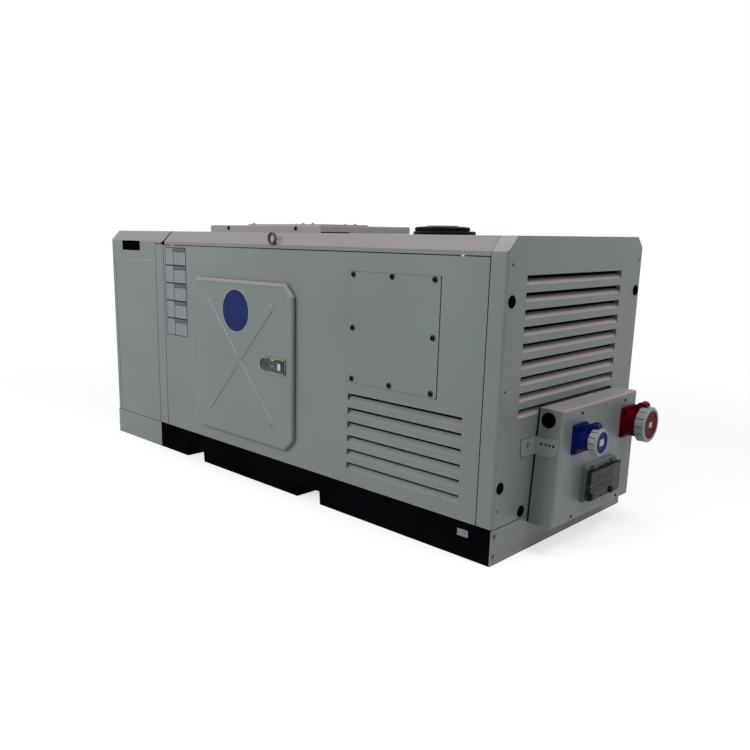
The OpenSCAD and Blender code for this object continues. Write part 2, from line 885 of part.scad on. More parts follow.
// Plate that ties the box to the end panel, with cut lower corners.
module tab_plate() {
    top = tab_z + tab_h;
    low = box_left(tab_z);
    high = box_left(top);
    color(grey) {
        along_x(half_l, half_l + sheet)
            polygon([[tab_y, top], [tab_y, tab_z + tab_cut], [tab_y + tab_cut, tab_z],
                     [low, tab_z], [high, top]]);
        difference() {
            along_x(half_l, tab_x)
                polygon([[low - sheet, tab_z], [low, tab_z], [high, top], [high - sheet, top]]);
            along_y(low - 2 * sheet, high + sheet)
                polygon([[tab_x - tab_cut - 1, tab_z - 1], [tab_x + 1, tab_z - 1],
                         [tab_x + 1, tab_z + tab_cut + 1]]);
        }
    }
}

// ---- sockets ----

// A panel socket at (y, z) on the box front: flange width f, body radius r and length l,
// locking ring radius ring_r, with pins contact holes in its insert.
module socket_body(y, z, f, r, l, ring_r, pins) {
    pivot_x = l - ring_lap + 2;
    pivot_z = ring_r + lid_rise;
    back_x = pivot_x - 9;
    translate([box_x1, y, z]) difference() {
        union() {
            rotate([90, 0, 90]) linear_extrude(8) round_rect(-f / 2, -f / 2 - 4, f, f + 8, 6);
            rotate([90, 0, 90]) linear_extrude(13) round_rect(-f / 2 + 4, -f / 2, f - 8, f, 6);
            rod_x([0, 0, 0], r, l);
            rod_x([0, 0, 0], r + 4, back_x - 8);
            along_y(-lug_y - 3, lug_y + 3)
                polygon([[12, 0], [back_x, 0], [back_x, pivot_z + 4], [12, f / 2 - 1]]);
            for (side = [-1, 1]) {
                block([back_x - 1, side * lug_y - 3, pivot_z - 5],
                      [pivot_x, side * lug_y + 3, pivot_z + 5]);
                rod_y([pivot_x, side * lug_y - 3, pivot_z], 5, 6);
            }
            rod_y([pivot_x, -lug_y, pivot_z], lid_pin_r, 2 * lug_y);
        }
        rod_x([l - mouth_d, 0, 0], r - mouth_wall, mouth_d + 1);
        for (i = [0 : pins - 1])
            rotate([i * 360 / pins, 0, 0]) rod_x([l - mouth_d - 12, 0, -r / 2], contact_r, 13);
    }
}

module blue_socket() {
    color(blue) socket_body(blue_y, blue_z, blue_flange, blue_body_r, blue_l, blue_ring_r, 3);
}
module red_socket() {
    color(red) socket_body(red_y, red_z, red_flange, red_body_r, red_l, red_ring_r, 5);
}

// A lid at (y, z): its dished disc inside the ring, and the hinge barrel seated on the ring.
module lid(y, z, l, ring_r, ring_l, ring_w) {
    pivot_x = l - ring_lap + 2;
    pivot_z = ring_r + lid_rise;
    r = ring_r - ring_w;
    t = ring_l - ring_lap - 2;
    translate([box_x1, y, z]) {
        translate([l + 1, 0, 0]) rotate([0, 90, 0]) rotate_extrude()
            polygon([[0, 0], [r, 0], [r, t], [r - 4, t], [r - 5, t - 1], [0, t - 1]]);
        difference() {
            union() {
                rod_y([pivot_x, -lid_barrel_l / 2, pivot_z], lid_barrel_r, lid_barrel_l);
                along_y(-lid_barrel_l / 2, lid_barrel_l / 2)
                    polygon([[pivot_x, ring_r - 8], [pivot_x + 13, ring_r - 8], [pivot_x + 13, ring_r + 3],
                             [pivot_x + 8, pivot_z + lid_barrel_r], [pivot_x, pivot_z + lid_barrel_r]]);
            }
            rod_x([l - ring_lap - 1, 0, 0], ring_r, ring_l + 2);
            rod_y([pivot_x, -20, pivot_z], lid_pin_r + hinge_play, 40);
        }
    }
}

// The grooved locking ring around a lid.
module lid_ring(y, z, l, ring_r, ring_l, ring_w) {
    inner = ring_r - ring_w;
    translate([box_x1 + l - ring_lap, y, z]) difference() {
        rotate([0, 90, 0]) rotate_extrude()
            polygon([[inner, 0], [ring_r, 0], [ring_r, ring_l - 3], [ring_r - 3, ring_l], [inner, ring_l]]);
        for (i = [0 : ring_grooves - 1]) rotate([(i + 0.5) * 360 / ring_grooves, 0, 0])
            block([-1, -groove_w / 2, ring_r - groove_d], [ring_l - 4, groove_w / 2, ring_r + 1]);
    }
}

module blue_lid() { color(blue) lid(blue_y, blue_z, blue_l, blue_ring_r, blue_ring_l, blue_ring_w); }
module red_lid() { color(red) lid(red_y, red_z, red_l, red_ring_r, red_ring_l, red_ring_w); }
module blue_lid_ring() {
    color(white) lid_ring(blue_y, blue_z, blue_l, blue_ring_r, blue_ring_l, blue_ring_w);
}
module red_lid_ring() {
    color(white) lid_ring(red_y, red_z, red_l, red_ring_r, red_ring_l, red_ring_w);
}

// ---- breaker window ----

module breaker_frame() {
    color(frame_grey) {
        translate([box_x1, window_y - window_w / 2, window_z - window_h / 2])
            rotate([90, 0, 90]) linear_extrude(window_t) difference() {
                round_rect(0, 0, window_w, window_h, 3);
                translate([window_rim, window_rim])
                    square([window_w - 2 * window_rim, window_h - 2 * window_rim]);
            }
        for (dy = window_lugs) translate([0, window_y + dy - window_lug_w, 0]) {
            block([box_x1 + window_t - 1, 0, flap_pivot_z - 4],
                  [flap_pivot_x, window_lug_w, flap_pivot_z + 4]);
            rod_y([flap_pivot_x, 0, flap_pivot_z], window_lug_r, window_lug_w);
            rod_y([flap_pivot_x, 0, flap_pivot_z], window_pin_r, 2 * window_lug_w);
        }
    }
}

// Row of eight breakers with their toggles.
module breakers() {
    pitch = 18;
    color([0.8, 0.8, 0.8]) for (i = [0 : 7])
        translate([box_x1, window_y - 4 * pitch + i * pitch, window_z - 40]) {
            cube([6, pitch - 0.5, 80]);
            translate([0, 0, 22]) cube([8, pitch - 0.5, 36]);
            translate([8, 5, 34]) cube([3, 8, 12]);
        }
}

// Clear flap: a shallow box open to the back, with a grip bar and two hinge rings.
module breaker_flap() {
    color(smoke) difference() {
        union() {
            translate([flap_x, window_y - flap_w / 2, flap_z0]) difference() {
                cube([flap_d, flap_w, flap_h]);
                translate([-1, flap_wall, flap_wall])
                    cube([flap_d + 1 - flap_wall, flap_w - 2 * flap_wall, flap_h - 2 * flap_wall]);
            }
            block([flap_x + flap_d - 1, window_y - flap_w / 2 + 8, flap_z0 + 36],
                  [flap_x + flap_d + 1.2, window_y + flap_w / 2 - 8, flap_z0 + 40]);
            for (dy = window_lugs) translate([flap_pivot_x, window_y + dy + 0.5, 0]) {
                rod_y([0, 0, flap_pivot_z], window_lug_r, window_lug_w);
                block([-4, 0, flap_z1 - 1], [4, window_lug_w, flap_pivot_z]);
            }
        }
        rod_y([flap_pivot_x, window_y - flap_w / 2, flap_pivot_z], window_pin_r + hinge_play, flap_w);
    }
}

// ---- generator inside ----

// Fan facing -X: six leaning blades on a hub.
module cooling_fan() {
    rod_x([-14, 0, 0], 42, 28);
    for (i = [0 : 5]) rotate([i * 60, 0, 0]) rotate([0, 0, 30])
        block([-2, -32, 36], [2, 32, fan_r]);
}

// Grooved belt pulley of radius r along +X.
module pulley(r) {
    rotate([0, 90, 0]) rotate_extrude()
        polygon([[0, 0], [r, 0], [r, 4], [r - 8, 10], [r, 16], [r, 20], [0, 20]]);
}

module engine() {
    color(engine_green) {
        for (side = [-1, 1]) {
            block([-400, side * 130 - 20, floor_z], [150, side * 130 + 20, floor_z + 45]);
            for (x = [-300, 60]) block([x, side * 115 - 35, floor_z + 45], [x + 40, side * 115 + 35, 250]);
        }
        along_y(-95, 95)
            polygon([[-310, 305], [-310, 225], [-250, 165], [40, 165], [80, 225], [80, 305]]);
        block([-320, -115, 240], [100, 115, 500]);
        for (side = [-1, 1], i = [0 : 7])
            block([-305 + i * 50, side * 118 - 6, 320], [-297 + i * 50, side * 118 + 6, 485]);
        block([-310, -95, 500], [90, 95, 575]);
        along_x(-300, 80) round_rect(-70, 570, 140, 62, 22);
        along_x(-345, -320) round_rect(-105, 235, 210, 240, 30);
        translate([-390, 0, crank_z]) pulley(68);
        rod_x([-371, 0, crank_z], 26, 40);
        translate([-390, 0, fan_z]) pulley(50);
        rod_x([-420, 0, fan_z], 22, 90);
        translate([-420, 0, fan_z]) cooling_fan();
        rod_x([99, 0, 340], 178, 44);
        rod_y([-60, -185, 300], 36, 75);
        rod_y([-60, -188, 300], 30, 5);
        rod_x([-30, -140, 225], 30, 130);
        block([-230, -165, 400], [-120, -110, 470]);
        for (x = [-220, -175, -130]) rod_y([x, -165, 485], 4, 60);
        for (i = [0 : 3]) rod_y([-270 + i * 100, 90, 540], 22, 50);
        rod_x([-290, 150, 540], 26, 360);
        block([-120, 10, 625], [-60, 70, 680]);
        rod_x([-230, 40, 735], 72, 300);
        rod_x([-240, 40, 735], 60, 12);
    }
}

// Ribbed alternator on feet, with its terminal box.
module alternator() {
    color(alternator_grey) {
        rod_x([170, 0, 340], 172, 330);
        for (i = [0 : 23]) rotate_about_shaft(i * 15) block([185, -4, 168], [485, 4, 186]);
        translate([143, 0, 340]) rotate([0, 90, 0]) rotate_extrude()
            polygon([[0, 0], [180, 0], [188, 8], [188, 34], [0, 34]]);
        translate([490, 0, 340]) rotate([0, 90, 0]) rotate_extrude()
            polygon([[0, 0], [188, 0], [188, 30], [170, 60], [90, 72], [0, 72]]);
        for (x = [190, 420]) difference() {
            block([x, -170, floor_z], [x + 60, 170, 300]);
            block([x - 1, -90, floor_z - 1], [x + 61, 90, floor_z + 45]);
        }
        block([230, -100, 500], [440, 100, 600]);
        along_z(599, 606) round_rect(224, -106, 222, 212, 8);
    }
}

module rotate_about_shaft(a) {
    translate([0, 0, 340]) rotate([a, 0, 0]) children();
}

// Radiator with tanks, finned core and the fan's shroud.
module radiator() {
    color(black) {
        along_y(-230, 230) round_rect(-560, 672, 70, 60, 12);
        along_y(-230, 230) round_rect(-560, 150, 70, 50, 12);
        difference() {
            block([-545, -215, 190], [-500, 215, 680]);
            for (i = [0 : 23]) block([-546, -200, 204 + i * 20], [-536, 200, 214 + i * 20]);
        }
        for (side = [-1, 1]) block([-555, side * 222 - 8, floor_z], [-490, side * 222 + 8, 690]);
        difference() {
            block([-500, -222, 200], [-470, 222, 672]);
            block([-491, -210, 212], [-474, 210, 660]);
            rod_x([-501, 0, fan_z], fan_r + 12, 40);
        }
        translate([-474, 0, fan_z]) rotate([0, 90, 0]) rotate_extrude()
            translate([fan_r + 8, 0]) square([6, 48]);
    }
}

base_frame();
base_end_plate();
left_skirt();
left_hood();
left_front_panel();
left_rear_panel();
left_end_panel();
front_left_post();
rear_left_post();
hood_seal();
roof();
roof_panel();
filler_neck();
filler_cap();
lifting_eyes();
front_panel_left();
front_panel_right();
door_header();
door_sill();
front_cover();
front_door();
latch_plate();
latch_paddle();
hinge_pintles();
hinge_knuckles();
door_seal();
rear_panel();
rear_door();
right_end_panel();
end_plugs();
socket_box();
socket_box_cover();
tab_plate();
blue_socket();
blue_lid();
blue_lid_ring();
red_socket();
red_lid();
red_lid_ring();
breaker_frame();
breakers();
breaker_flap();
engine();
alternator();
radiator();
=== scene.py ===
import json
import math

import bmesh
import bpy
from mathutils import Matrix, Vector


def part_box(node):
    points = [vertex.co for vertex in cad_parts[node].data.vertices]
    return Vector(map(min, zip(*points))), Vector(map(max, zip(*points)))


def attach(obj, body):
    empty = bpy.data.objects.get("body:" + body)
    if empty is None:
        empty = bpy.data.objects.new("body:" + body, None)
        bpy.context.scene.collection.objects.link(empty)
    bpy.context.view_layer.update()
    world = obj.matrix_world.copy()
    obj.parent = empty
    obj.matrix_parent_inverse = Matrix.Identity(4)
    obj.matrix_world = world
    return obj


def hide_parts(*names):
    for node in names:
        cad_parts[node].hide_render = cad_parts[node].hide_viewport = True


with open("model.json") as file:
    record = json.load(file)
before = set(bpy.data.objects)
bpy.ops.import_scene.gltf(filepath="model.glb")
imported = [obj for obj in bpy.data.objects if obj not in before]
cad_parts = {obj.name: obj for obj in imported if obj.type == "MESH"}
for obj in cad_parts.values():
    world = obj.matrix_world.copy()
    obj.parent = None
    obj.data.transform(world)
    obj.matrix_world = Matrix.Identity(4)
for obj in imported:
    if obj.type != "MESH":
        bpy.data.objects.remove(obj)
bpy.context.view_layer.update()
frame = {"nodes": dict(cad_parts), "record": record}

MM = 0.001

# ---- camera, light and floor ----

CAMERA_PLACE = (2.103, -2.105, 0.902)
CAMERA_HEADING = 45.97        # degrees from +Y towards -X
CAMERA_PITCH = -12.41
CAMERA_ROLL = 0.69
CAMERA_LENS = 36.83
CAMERA_SHIFT = (0.0712, 0.0352)
FLOOR_HALF = 15               # metres from the middle to an edge
FLOOR_FADE = (1.6, 3.2)       # distances over which the floor's shadow fades into white

LAMPS = {                     # place, target, size, watts, colour
    "top_lamp": ((0.2, -0.5, 3.4), (0, 0, 0.9), (3.4, 2.4), 15, (1.0, 0.9, 0.9)),
    "front_lamp": ((-0.8, -3.6, 2.7), (0, 0, 0.4), (2.8, 1.6), 88, (0.955, 1.0, 1.0)),
    "end_lamp": ((2.1, -0.1, 3.1), (1.25, 0, 0.4), (1.2, 1.2), 40, (1.0, 0.94, 0.94)),
    "rear_lamp": ((-2.9, 3.4, 2.0), (0, 0, 0.4), (2.6, 2.0), 48, (1.0, 0.99, 0.98)),
}


def srgb(red, green, blue):
    """Linear colour with alpha, from 0-255 display values."""
    def linear(value):
        share = value / 255
        return share / 12.92 if share <= 0.04045 else ((share + 0.055) / 1.055) ** 2.4
    return (linear(red), linear(green), linear(blue), 1.0)


def add_object(name, data):
    made = bpy.data.objects.new(name, data)
    bpy.context.scene.collection.objects.link(made)
    return made


class Shading:
    """The node tree of a material or world, with short calls for the nodes used here."""

    def __init__(self, owner):
        owner.use_nodes = True
        self.nodes, self.links = owner.node_tree.nodes, owner.node_tree.links
        self.shader = self.nodes.get("Principled BSDF")

    def add(self, kind, inputs=None):
        """New node, each input of which is a plain value or another node's output."""
        node = self.nodes.new("ShaderNode" + kind)
        for name, value in (inputs or {}).items():
            self.feed(node.inputs[name], value)
        return node

    def feed(self, socket, value):
        """Links an output to an input, or sets a plain value on it."""
        if isinstance(value, bpy.types.NodeSocket):
            self.links.new(value, socket)
        else:
            socket.default_value = value

    def maths(self, operation, first, second):
        node = self.add("Math", {0: first, 1: second})
        node.operation = operation
        return node.outputs[0]

    def shader_mix(self, share, first, second):
        return self.add("MixShader", {"Fac": share, 1: first.outputs[0], 2: second.outputs[0]})

    def noise(self, scale, detail, roughness=0.5, stretch=(1, 1, 1)):
        """Noise in the object's metres, stretched by a factor on each axis."""
        place = self.add("TexCoord").outputs["Object"]
        mapping = self.add("Mapping", {"Vector": place, "Scale": stretch})
        texture = self.add("TexNoise", {"Vector": mapping.outputs[0], "Scale": scale,
                                        "Detail": detail, "Roughness": roughness})
        return texture.outputs["Fac"]

    def ranged(self, value, start, end, low=0.0, high=1.0):
        """Maps a value between start and end to one between low and high."""
        node = self.add("MapRange", {"Value": value, "From Min": start, "From Max": end,
                                     "To Min": low, "To Max": high})
        return node.outputs["Result"]

    def upward(self, output):
        """The Z part of a texture coordinate."""
        return self.add("SeparateXYZ", {0: self.add("TexCoord").outputs[output]}).outputs["Z"]

    def low_down(self, height):
        """1 on the ground, falling to 0 at a height in metres."""
        return self.ranged(self.upward("Object"), 0.0, height, 1.0, 0.0)

    def facing_up(self):
        """0 on upright faces and below, rising to 1 on faces that look up; it masks the painted top light."""
        return self.ranged(self.upward("Normal"), 0.1, 0.5)

    def two_tone(self, value, first, second, start=0.3, end=0.7):
        """Goes from one colour to another as a value goes from start to end."""
        ramp = self.add("ValToRGB", {"Fac": value})
        for element, place, colour in zip(ramp.color_ramp.elements, (start, end), (first, second)):
            element.position = place
            element.color = colour
        return ramp.outputs["Color"]

    def blended(self, share, first, second):
        """Mixes two colours or colour outputs by a 0-1 output."""
        mix = self.nodes.new("ShaderNodeMix")
        mix.data_type = "RGBA"
        for socket, value in zip((0, 6, 7), (share, first, second)):
            self.feed(mix.inputs[socket], value)
        return mix.outputs[2]

    def coat(self, colour, rough, grain, depth, strength, metallic=0.0, level=0.5):
        """Sets the shader's colour, gloss and grain, the grain's depth in mm."""
        bump = self.add("Bump", {"Height": grain, "Distance": depth * MM, "Strength": strength})
        for name, value in (("Base Color", colour), ("Roughness", rough), ("Normal", bump.outputs["Normal"]),
                            ("Metallic", metallic), ("Specular IOR Level", level)):
            self.feed(self.shader.inputs[name], value)

    def seen_directly(self):
        """1 for camera, glossy and transmission rays, and 0 for the light that bounces."""
        path = self.add("LightPath").outputs
        seen = self.maths("MAXIMUM", path["Is Camera Ray"], path["Is Glossy Ray"])
        return self.maths("MAXIMUM", seen, path["Is Transmission Ray"])


def make_camera():
    data = bpy.data.cameras.new("camera")
    camera = add_object("camera", data)
    heading, pitch = math.radians(CAMERA_HEADING), math.radians(CAMERA_PITCH)
    forward = Vector((-math.sin(heading) * math.cos(pitch),
                      math.cos(heading) * math.cos(pitch), math.sin(pitch)))
    roll = Matrix.Rotation(math.radians(CAMERA_ROLL), 4, "Z")
    turn = forward.to_track_quat("-Z", "Y").to_matrix().to_4x4() @ roll
    camera.matrix_world = Matrix.Translation(CAMERA_PLACE) @ turn
    data.lens = CAMERA_LENS
    data.sensor_width = 36
    data.shift_x, data.shift_y = CAMERA_SHIFT
    data.clip_start, data.clip_end = 0.05, 100
    bpy.context.scene.camera = camera


def area_lamp(name, place, target, size, power, colour):
    data = bpy.data.lights.new(name, "AREA")
    data.shape = "RECTANGLE"
    data.size, data.size_y = size
    data.energy = power
    data.color = colour
    lamp = add_object(name, data)
    aim = Vector(target) - Vector(place)
    lamp.matrix_world = Matrix.Translation(place) @ aim.to_track_quat("-Z", "Y").to_matrix().to_4x4()
    lamp.visible_camera = False


def make_world():
    """Faint fill light that looks white where it is seen or reflected."""
    world = bpy.data.worlds.new("studio")
    bpy.context.scene.world = world
    tree = Shading(world)
    tree.nodes.clear()
    fill = tree.add("Background", {"Color": (0.97, 0.99, 1.0, 1), "Strength": 0.2})
    white = tree.add("Background", {"Color": (1, 1, 1, 1), "Strength": 1.0})
    mix = tree.shader_mix(tree.seen_directly(), fill, white)
    tree.add("OutputWorld", {"Surface": mix.outputs[0]})


def make_floor():
    """Pale floor: plain diffuse for the light it bounces, near white with its shadow where it is seen."""
    material = bpy.data.materials.new("floor_pale")
    tree = Shading(material)
    tree.nodes.clear()
    bounce = tree.add("BsdfDiffuse", {"Color": (0.58, 0.64, 0.64, 1)})
    shown = tree.add("BsdfDiffuse", {"Color": (0.5, 0.5, 0.5, 1)})
    glow = tree.add("Emission", {"Strength": 0.68})
    near = tree.add("AddShader", {0: shown.outputs[0], 1: glow.outputs[0]})
    far = tree.add("Emission", {"Strength": 1.0})
    length = tree.add("VectorMath", {0: tree.add("TexCoord").outputs["Object"]})
    length.operation = "LENGTH"
    fade = tree.add("MapRange", {"Value": length.outputs["Value"],
                                 "From Min": FLOOR_FADE[0], "From Max": FLOOR_FADE[1]})
    fade.interpolation_type = "SMOOTHSTEP"
    seen = tree.shader_mix(fade.outputs["Result"], near, far)
    mix = tree.shader_mix(tree.seen_directly(), bounce, seen)
    tree.add("OutputMaterial", {"Surface": mix.outputs[0]})

    mesh = bpy.data.meshes.new("floor")
    corners = [(x * FLOOR_HALF, y * FLOOR_HALF, 0) for x, y in ((-1, -1), (1, -1), (1, 1), (-1, 1))]
    mesh.from_pydata(corners, [], [(0, 1, 2, 3)])
    mesh.materials.append(material)
    add_object("floor", mesh)


def make_studio():
    bpy.context.scene.view_settings.view_transform = "Standard"
    make_world()
    make_floor()
    for name, values in LAMPS.items():
        area_lamp(name, *values)


# ---- materials ----

# Painted top light: pale pink tints for faces that look up, standing in for the light from above; the roof's
# is darker and laid on more thickly.
TOP_LIGHT_TINT = srgb(180, 165, 165)
ROOF_TOP_LIGHT_TINT = srgb(146, 131, 130)

KINDS = {   # two colours, patch scale, roughness range, grain scale and depth in mm, metallic, specular level
    "seal_rubber": ((5, 5, 6), (10, 10, 11), 20, (0.7, 0.85), 500, 0.1, 0.0, 0.0),
    "plug_black": ((5, 5, 6), (10, 10, 11), 60, (0.6, 0.7), 600, 0.2, 0.0, 0.0),
    # Painted reflection: the chrome paddle is darkened, so that its painted highlight stands out.
    "paddle_dark_reflection": ((34, 40, 42), (84, 92, 92), 30, (0.18, 0.34), 60, 0.3, 1.0, 0.5),
    "cap_black": ((5, 5, 6), (10, 10, 11), 12, (0.5, 0.62), 600, 0.2, 0.0, 0.07),
    "chrome": ((172, 175, 174), (192, 194, 192), 20, (0.10, 0.2), 60, 0.1, 1.0, 0.5),
    # Painted reflection: the latch's chrome is tinted teal and tan like the surroundings it mirrors.
    "latch_reflection_metal": ((96, 112, 108), (150, 144, 130), 26, (0.16, 0.3), 60, 0.3, 1.0, 0.5),
    # Painted shade and reflection: a dark teal sheet for the floor of the latch's dish, also used on the
    # lock's face.
    "latch_shade_reflection": ((40, 58, 56), (82, 96, 92), 34, (0.2, 0.34), 60, 0.3, 1.0, 0.5),
    "zinc_steel": ((56, 54, 52), (96, 92, 88), 60, (0.34, 0.55), 300, 0.1, 1.0, 0.5),
    "blue_plastic": ((6, 18, 84), (10, 26, 98), 12, (0.4, 0.52), 800, 0.1, 0.0, 0.08),
    "red_plastic": ((84, 2, 10), (100, 4, 16), 12, (0.4, 0.52), 800, 0.1, 0.0, 0.05),
    "white_plastic": ((142, 147, 150), (154, 159, 161), 12, (0.38, 0.5), 700, 0.1, 0.0, 0.4),
    "window_grey": ((104, 112, 112), (114, 122, 122), 12, (0.42, 0.55), 700, 0.1, 0.0, 0.25),
    "breaker_grey": ((84, 98, 102), (98, 112, 116), 12, (0.4, 0.5), 700, 0.1, 0.0, 0.3),
    "breaker_dark": ((10, 16, 18), (18, 26, 28), 30, (0.45, 0.55), 700, 0.1, 0.0, 0.1),
    "bracket_grey": ((138, 143, 142), (148, 153, 151), 10, (0.34, 0.46), 700, 0.1, 0.0, 0.5),
    # Painted light: a lighter copy of the canopy grey for the roof panel, standing in for the strong light
    # from above.
    "roof_panel_lit_grey": ((148, 143, 142), (157, 152, 151), 3, (0.36, 0.48), 700, 0.1, 0.0, 0.5),
    "bolt_zinc": ((104, 104, 102), (132, 132, 130), 90, (0.36, 0.52), 900, 0.1, 1.0, 0.5),
    "bolt_grey": ((80, 82, 83), (94, 96, 97), 120, (0.4, 0.55), 900, 0.1, 0.0, 0.2),
    "bolt_dark": ((12, 13, 14), (22, 23, 24), 90, (0.5, 0.6), 900, 0.1, 0.0, 0.12),
    # Painted shade: the black of slots and keyways, drawn on the surface.
    "recess_shade_dark": ((6, 6, 6), (10, 10, 10), 60, (0.6, 0.7), 900, 0.1, 0.0, 0.1),
    "clip_metal": ((176, 177, 176), (196, 197, 196), 60, (0.2, 0.34), 400, 0.1, 1.0, 0.5),
    # Black and dark grey laid in gaps and round plates as painted shade; the black also edges the clear flap.
    "seam_black": ((4, 4, 4), (8, 8, 8), 40, (0.7, 0.8), 600, 0.1, 0.0, 0.1),
    "painted_shade_dark": ((52, 55, 56), (60, 63, 64), 40, (0.6, 0.7), 600, 0.1, 0.0, 0.2),
    # Painted highlight: pale strips where an edge catches the light.
    "painted_highlight_pale": ((158, 162, 162), (166, 170, 170), 40, (0.5, 0.6), 600, 0.1, 0.0, 0.3),
    "foam_black": ((14, 14, 15), (24, 24, 25), 60, (0.8, 0.95), 900, 0.4, 0.0, 0.1),
    "sign_blue": ((24, 40, 92), (30, 47, 102), 10, (0.36, 0.48), 300, 0.05, 0.0, 0.08),
    "ring_mark": ((52, 55, 55), (62, 65, 65), 40, (0.6, 0.7), 600, 0.1, 0.0, 0.1),
    "label_white": ((186, 186, 184), (194, 194, 192), 14, (0.34, 0.46), 300, 0.05, 0.0, 0.4),
    "label_pale": ((136, 138, 144), (147, 149, 155), 14, (0.4, 0.5), 300, 0.05, 0.0, 0.2),
    "label_grey": ((92, 95, 96), (100, 103, 104), 14, (0.4, 0.5), 300, 0.05, 0.0, 0.2),
    "label_edge": ((26, 28, 32), (34, 36, 40), 14, (0.4, 0.5), 300, 0.05, 0.0, 0.12),
    "label_black": ((5, 5, 7), (9, 9, 11), 14, (0.5, 0.6), 300, 0.05, 0.0, 0.0),
    "knob_black": ((5, 5, 6), (9, 9, 10), 60, (0.45, 0.6), 700, 0.1, 0.0, 0.12),
    "wire_red": ((120, 16, 14), (136, 22, 18), 60, (0.4, 0.5), 700, 0.1, 0.0, 0.3),
    "wire_yellow": ((170, 130, 20), (184, 142, 28), 60, (0.4, 0.5), 700, 0.1, 0.0, 0.3),
}

CLOSER = {  # CAD nodes that need another material than that of their slot in the record
    "latch_plate": "latch_reflection_metal", "tab_plate": "bracket_grey", "roof": "roof_top_lit_grey", "left_hood": "roof_top_lit_grey",
    "roof_panel": "roof_panel_lit_grey", "end_plugs": "plug_black", "latch_paddle": "paddle_dark_reflection",
}


def surface(tree, first, second, patch_scale, roughness, grain_scale, grain_depth, metallic, level):
    """Mottled colour, uneven gloss and a fine grain."""
    colour = tree.two_tone(tree.noise(patch_scale, 4.0), srgb(*first), srgb(*second))
    rough = tree.ranged(tree.noise(patch_scale * 3, 3.0), 0.0, 1.0, *roughness)
    tree.coat(colour, rough, tree.noise(grain_scale, 2.0), grain_depth, 0.6, metallic, level)


def powder_paint(tree, cover, top_light_colour):
    """Satin powder coat: fine orange peel, faint run-off marks, dust near the ground, and painted top light:
    a pale pink tint in patches on faces that look up, in place of the light from above.
    """
    paint = tree.two_tone(tree.noise(2.2, 4.0), srgb(121, 126, 126), srgb(129, 134, 134))
    marks = tree.noise(9, 5.0, 0.6, (1, 1, 0.12))
    marked = tree.blended(tree.ranged(marks, 0.56, 0.8, 0.0, 0.16), paint, srgb(112, 116, 114))
    patches = tree.noise(14, 5.0, 0.65)
    dust = tree.maths("MULTIPLY", tree.maths("MULTIPLY", tree.low_down(0.3), patches), 0.3)
    dusty = tree.blended(dust, marked, srgb(134, 133, 126))
    # Painted top light: faces that look up take the pale pink tint in patches, in place of the light from
    # above.
    top_light = tree.maths("MULTIPLY", tree.facing_up(), tree.ranged(patches, 0.0, 1.0, 0.25 * cover, 0.7 * cover))
    rough = tree.ranged(tree.noise(6, 4.0), 0.0, 1.0, 0.36, 0.5)
    tree.coat(tree.blended(top_light, dusty, top_light_colour), rough, tree.noise(700, 2.0), 0.08, 0.5)


def base_paint(tree):
    """Black chassis paint with dust and scuffs low down."""
    paint = tree.two_tone(tree.noise(5, 4.0), srgb(7, 8, 11), srgb(13, 15, 18))
    scuffs = tree.ranged(tree.noise(40, 5.0, 0.7, (0.3, 0.3, 1.6)), 0.6, 0.75, 0.0, 0.35)
    share = tree.maths("MULTIPLY", scuffs, tree.low_down(0.09))
    rough = tree.ranged(tree.noise(18, 3.0), 0.0, 1.0, 0.5, 0.68)
    tree.coat(tree.blended(share, paint, srgb(62, 60, 56)), rough, tree.noise(500, 2.0), 0.1, 0.6, level=0.0)


def engine_casting(tree, first, second):
    """Painted casting: rough sand texture with oily dark patches."""
    paint = tree.two_tone(tree.noise(7, 4.0), srgb(*first), srgb(*second))
    grime = tree.two_tone(tree.noise(16, 5.0, 0.65), (0, 0, 0, 1), (1, 1, 1, 1), 0.5, 0.7)
    colour = tree.blended(tree.maths("MULTIPLY", grime, 0.45), paint, srgb(20, 19, 17))
    tree.coat(colour, tree.ranged(tree.noise(20, 3.0), 0.0, 1.0, 0.38, 0.62), tree.noise(260, 3.0), 0.4, 0.7)


def smoked_plastic(tree):
    """Dark clear polycarbonate of the flap over the breakers."""
    tint = tree.two_tone(tree.noise(14, 3.0), srgb(12, 26, 26), srgb(18, 34, 34))
    rough = tree.ranged(tree.noise(45, 4.0), 0.0, 1.0, 0.08, 0.18)
    tree.coat(tint, rough, tree.noise(30, 2.0), 0.2, 0.3, level=0.25)
    tree.shader.inputs["Alpha"].default_value = 0.4


def make_materials():
    recipes = {
        # Powder paint with painted top light, in a different share on the canopy, the louvre blades and the
        # roof.
        "canopy_grey": (powder_paint, 1.0, TOP_LIGHT_TINT),
        "blade_top_lit_grey": (powder_paint, 0.25, TOP_LIGHT_TINT),
        "roof_top_lit_grey": (powder_paint, 1.2, ROOF_TOP_LIGHT_TINT),
        "base_black": (base_paint,),
        "engine_paint": (engine_casting, (34, 50, 44), (46, 62, 54)),
        "alternator_paint": (engine_casting, (62, 66, 70), (76, 80, 84)),
        "radiator_black": (engine_casting, (22, 22, 23), (32, 32, 33)),
        "smoked_clear": (smoked_plastic,),
    }
    recipes.update({name: (surface, *values) for name, values in KINDS.items()})
    made = {}
    for name, (recipe, *values) in recipes.items():
        made[name] = bpy.data.materials.new(name)
        recipe(Shading(made[name]), *values)
    return made


def dress_cad_nodes():
    """Gives each CAD node the material of its slot in the record, or a closer one of its own."""
    for subpart in frame["record"]["subparts"]:
        node = subpart["node"]
        mesh = frame["nodes"][node].data
        mesh.materials.clear()
        mesh.materials.append(MATERIALS[CLOSER.get(node, subpart["material_slot"])])


# ---- shapes for the added pieces ----

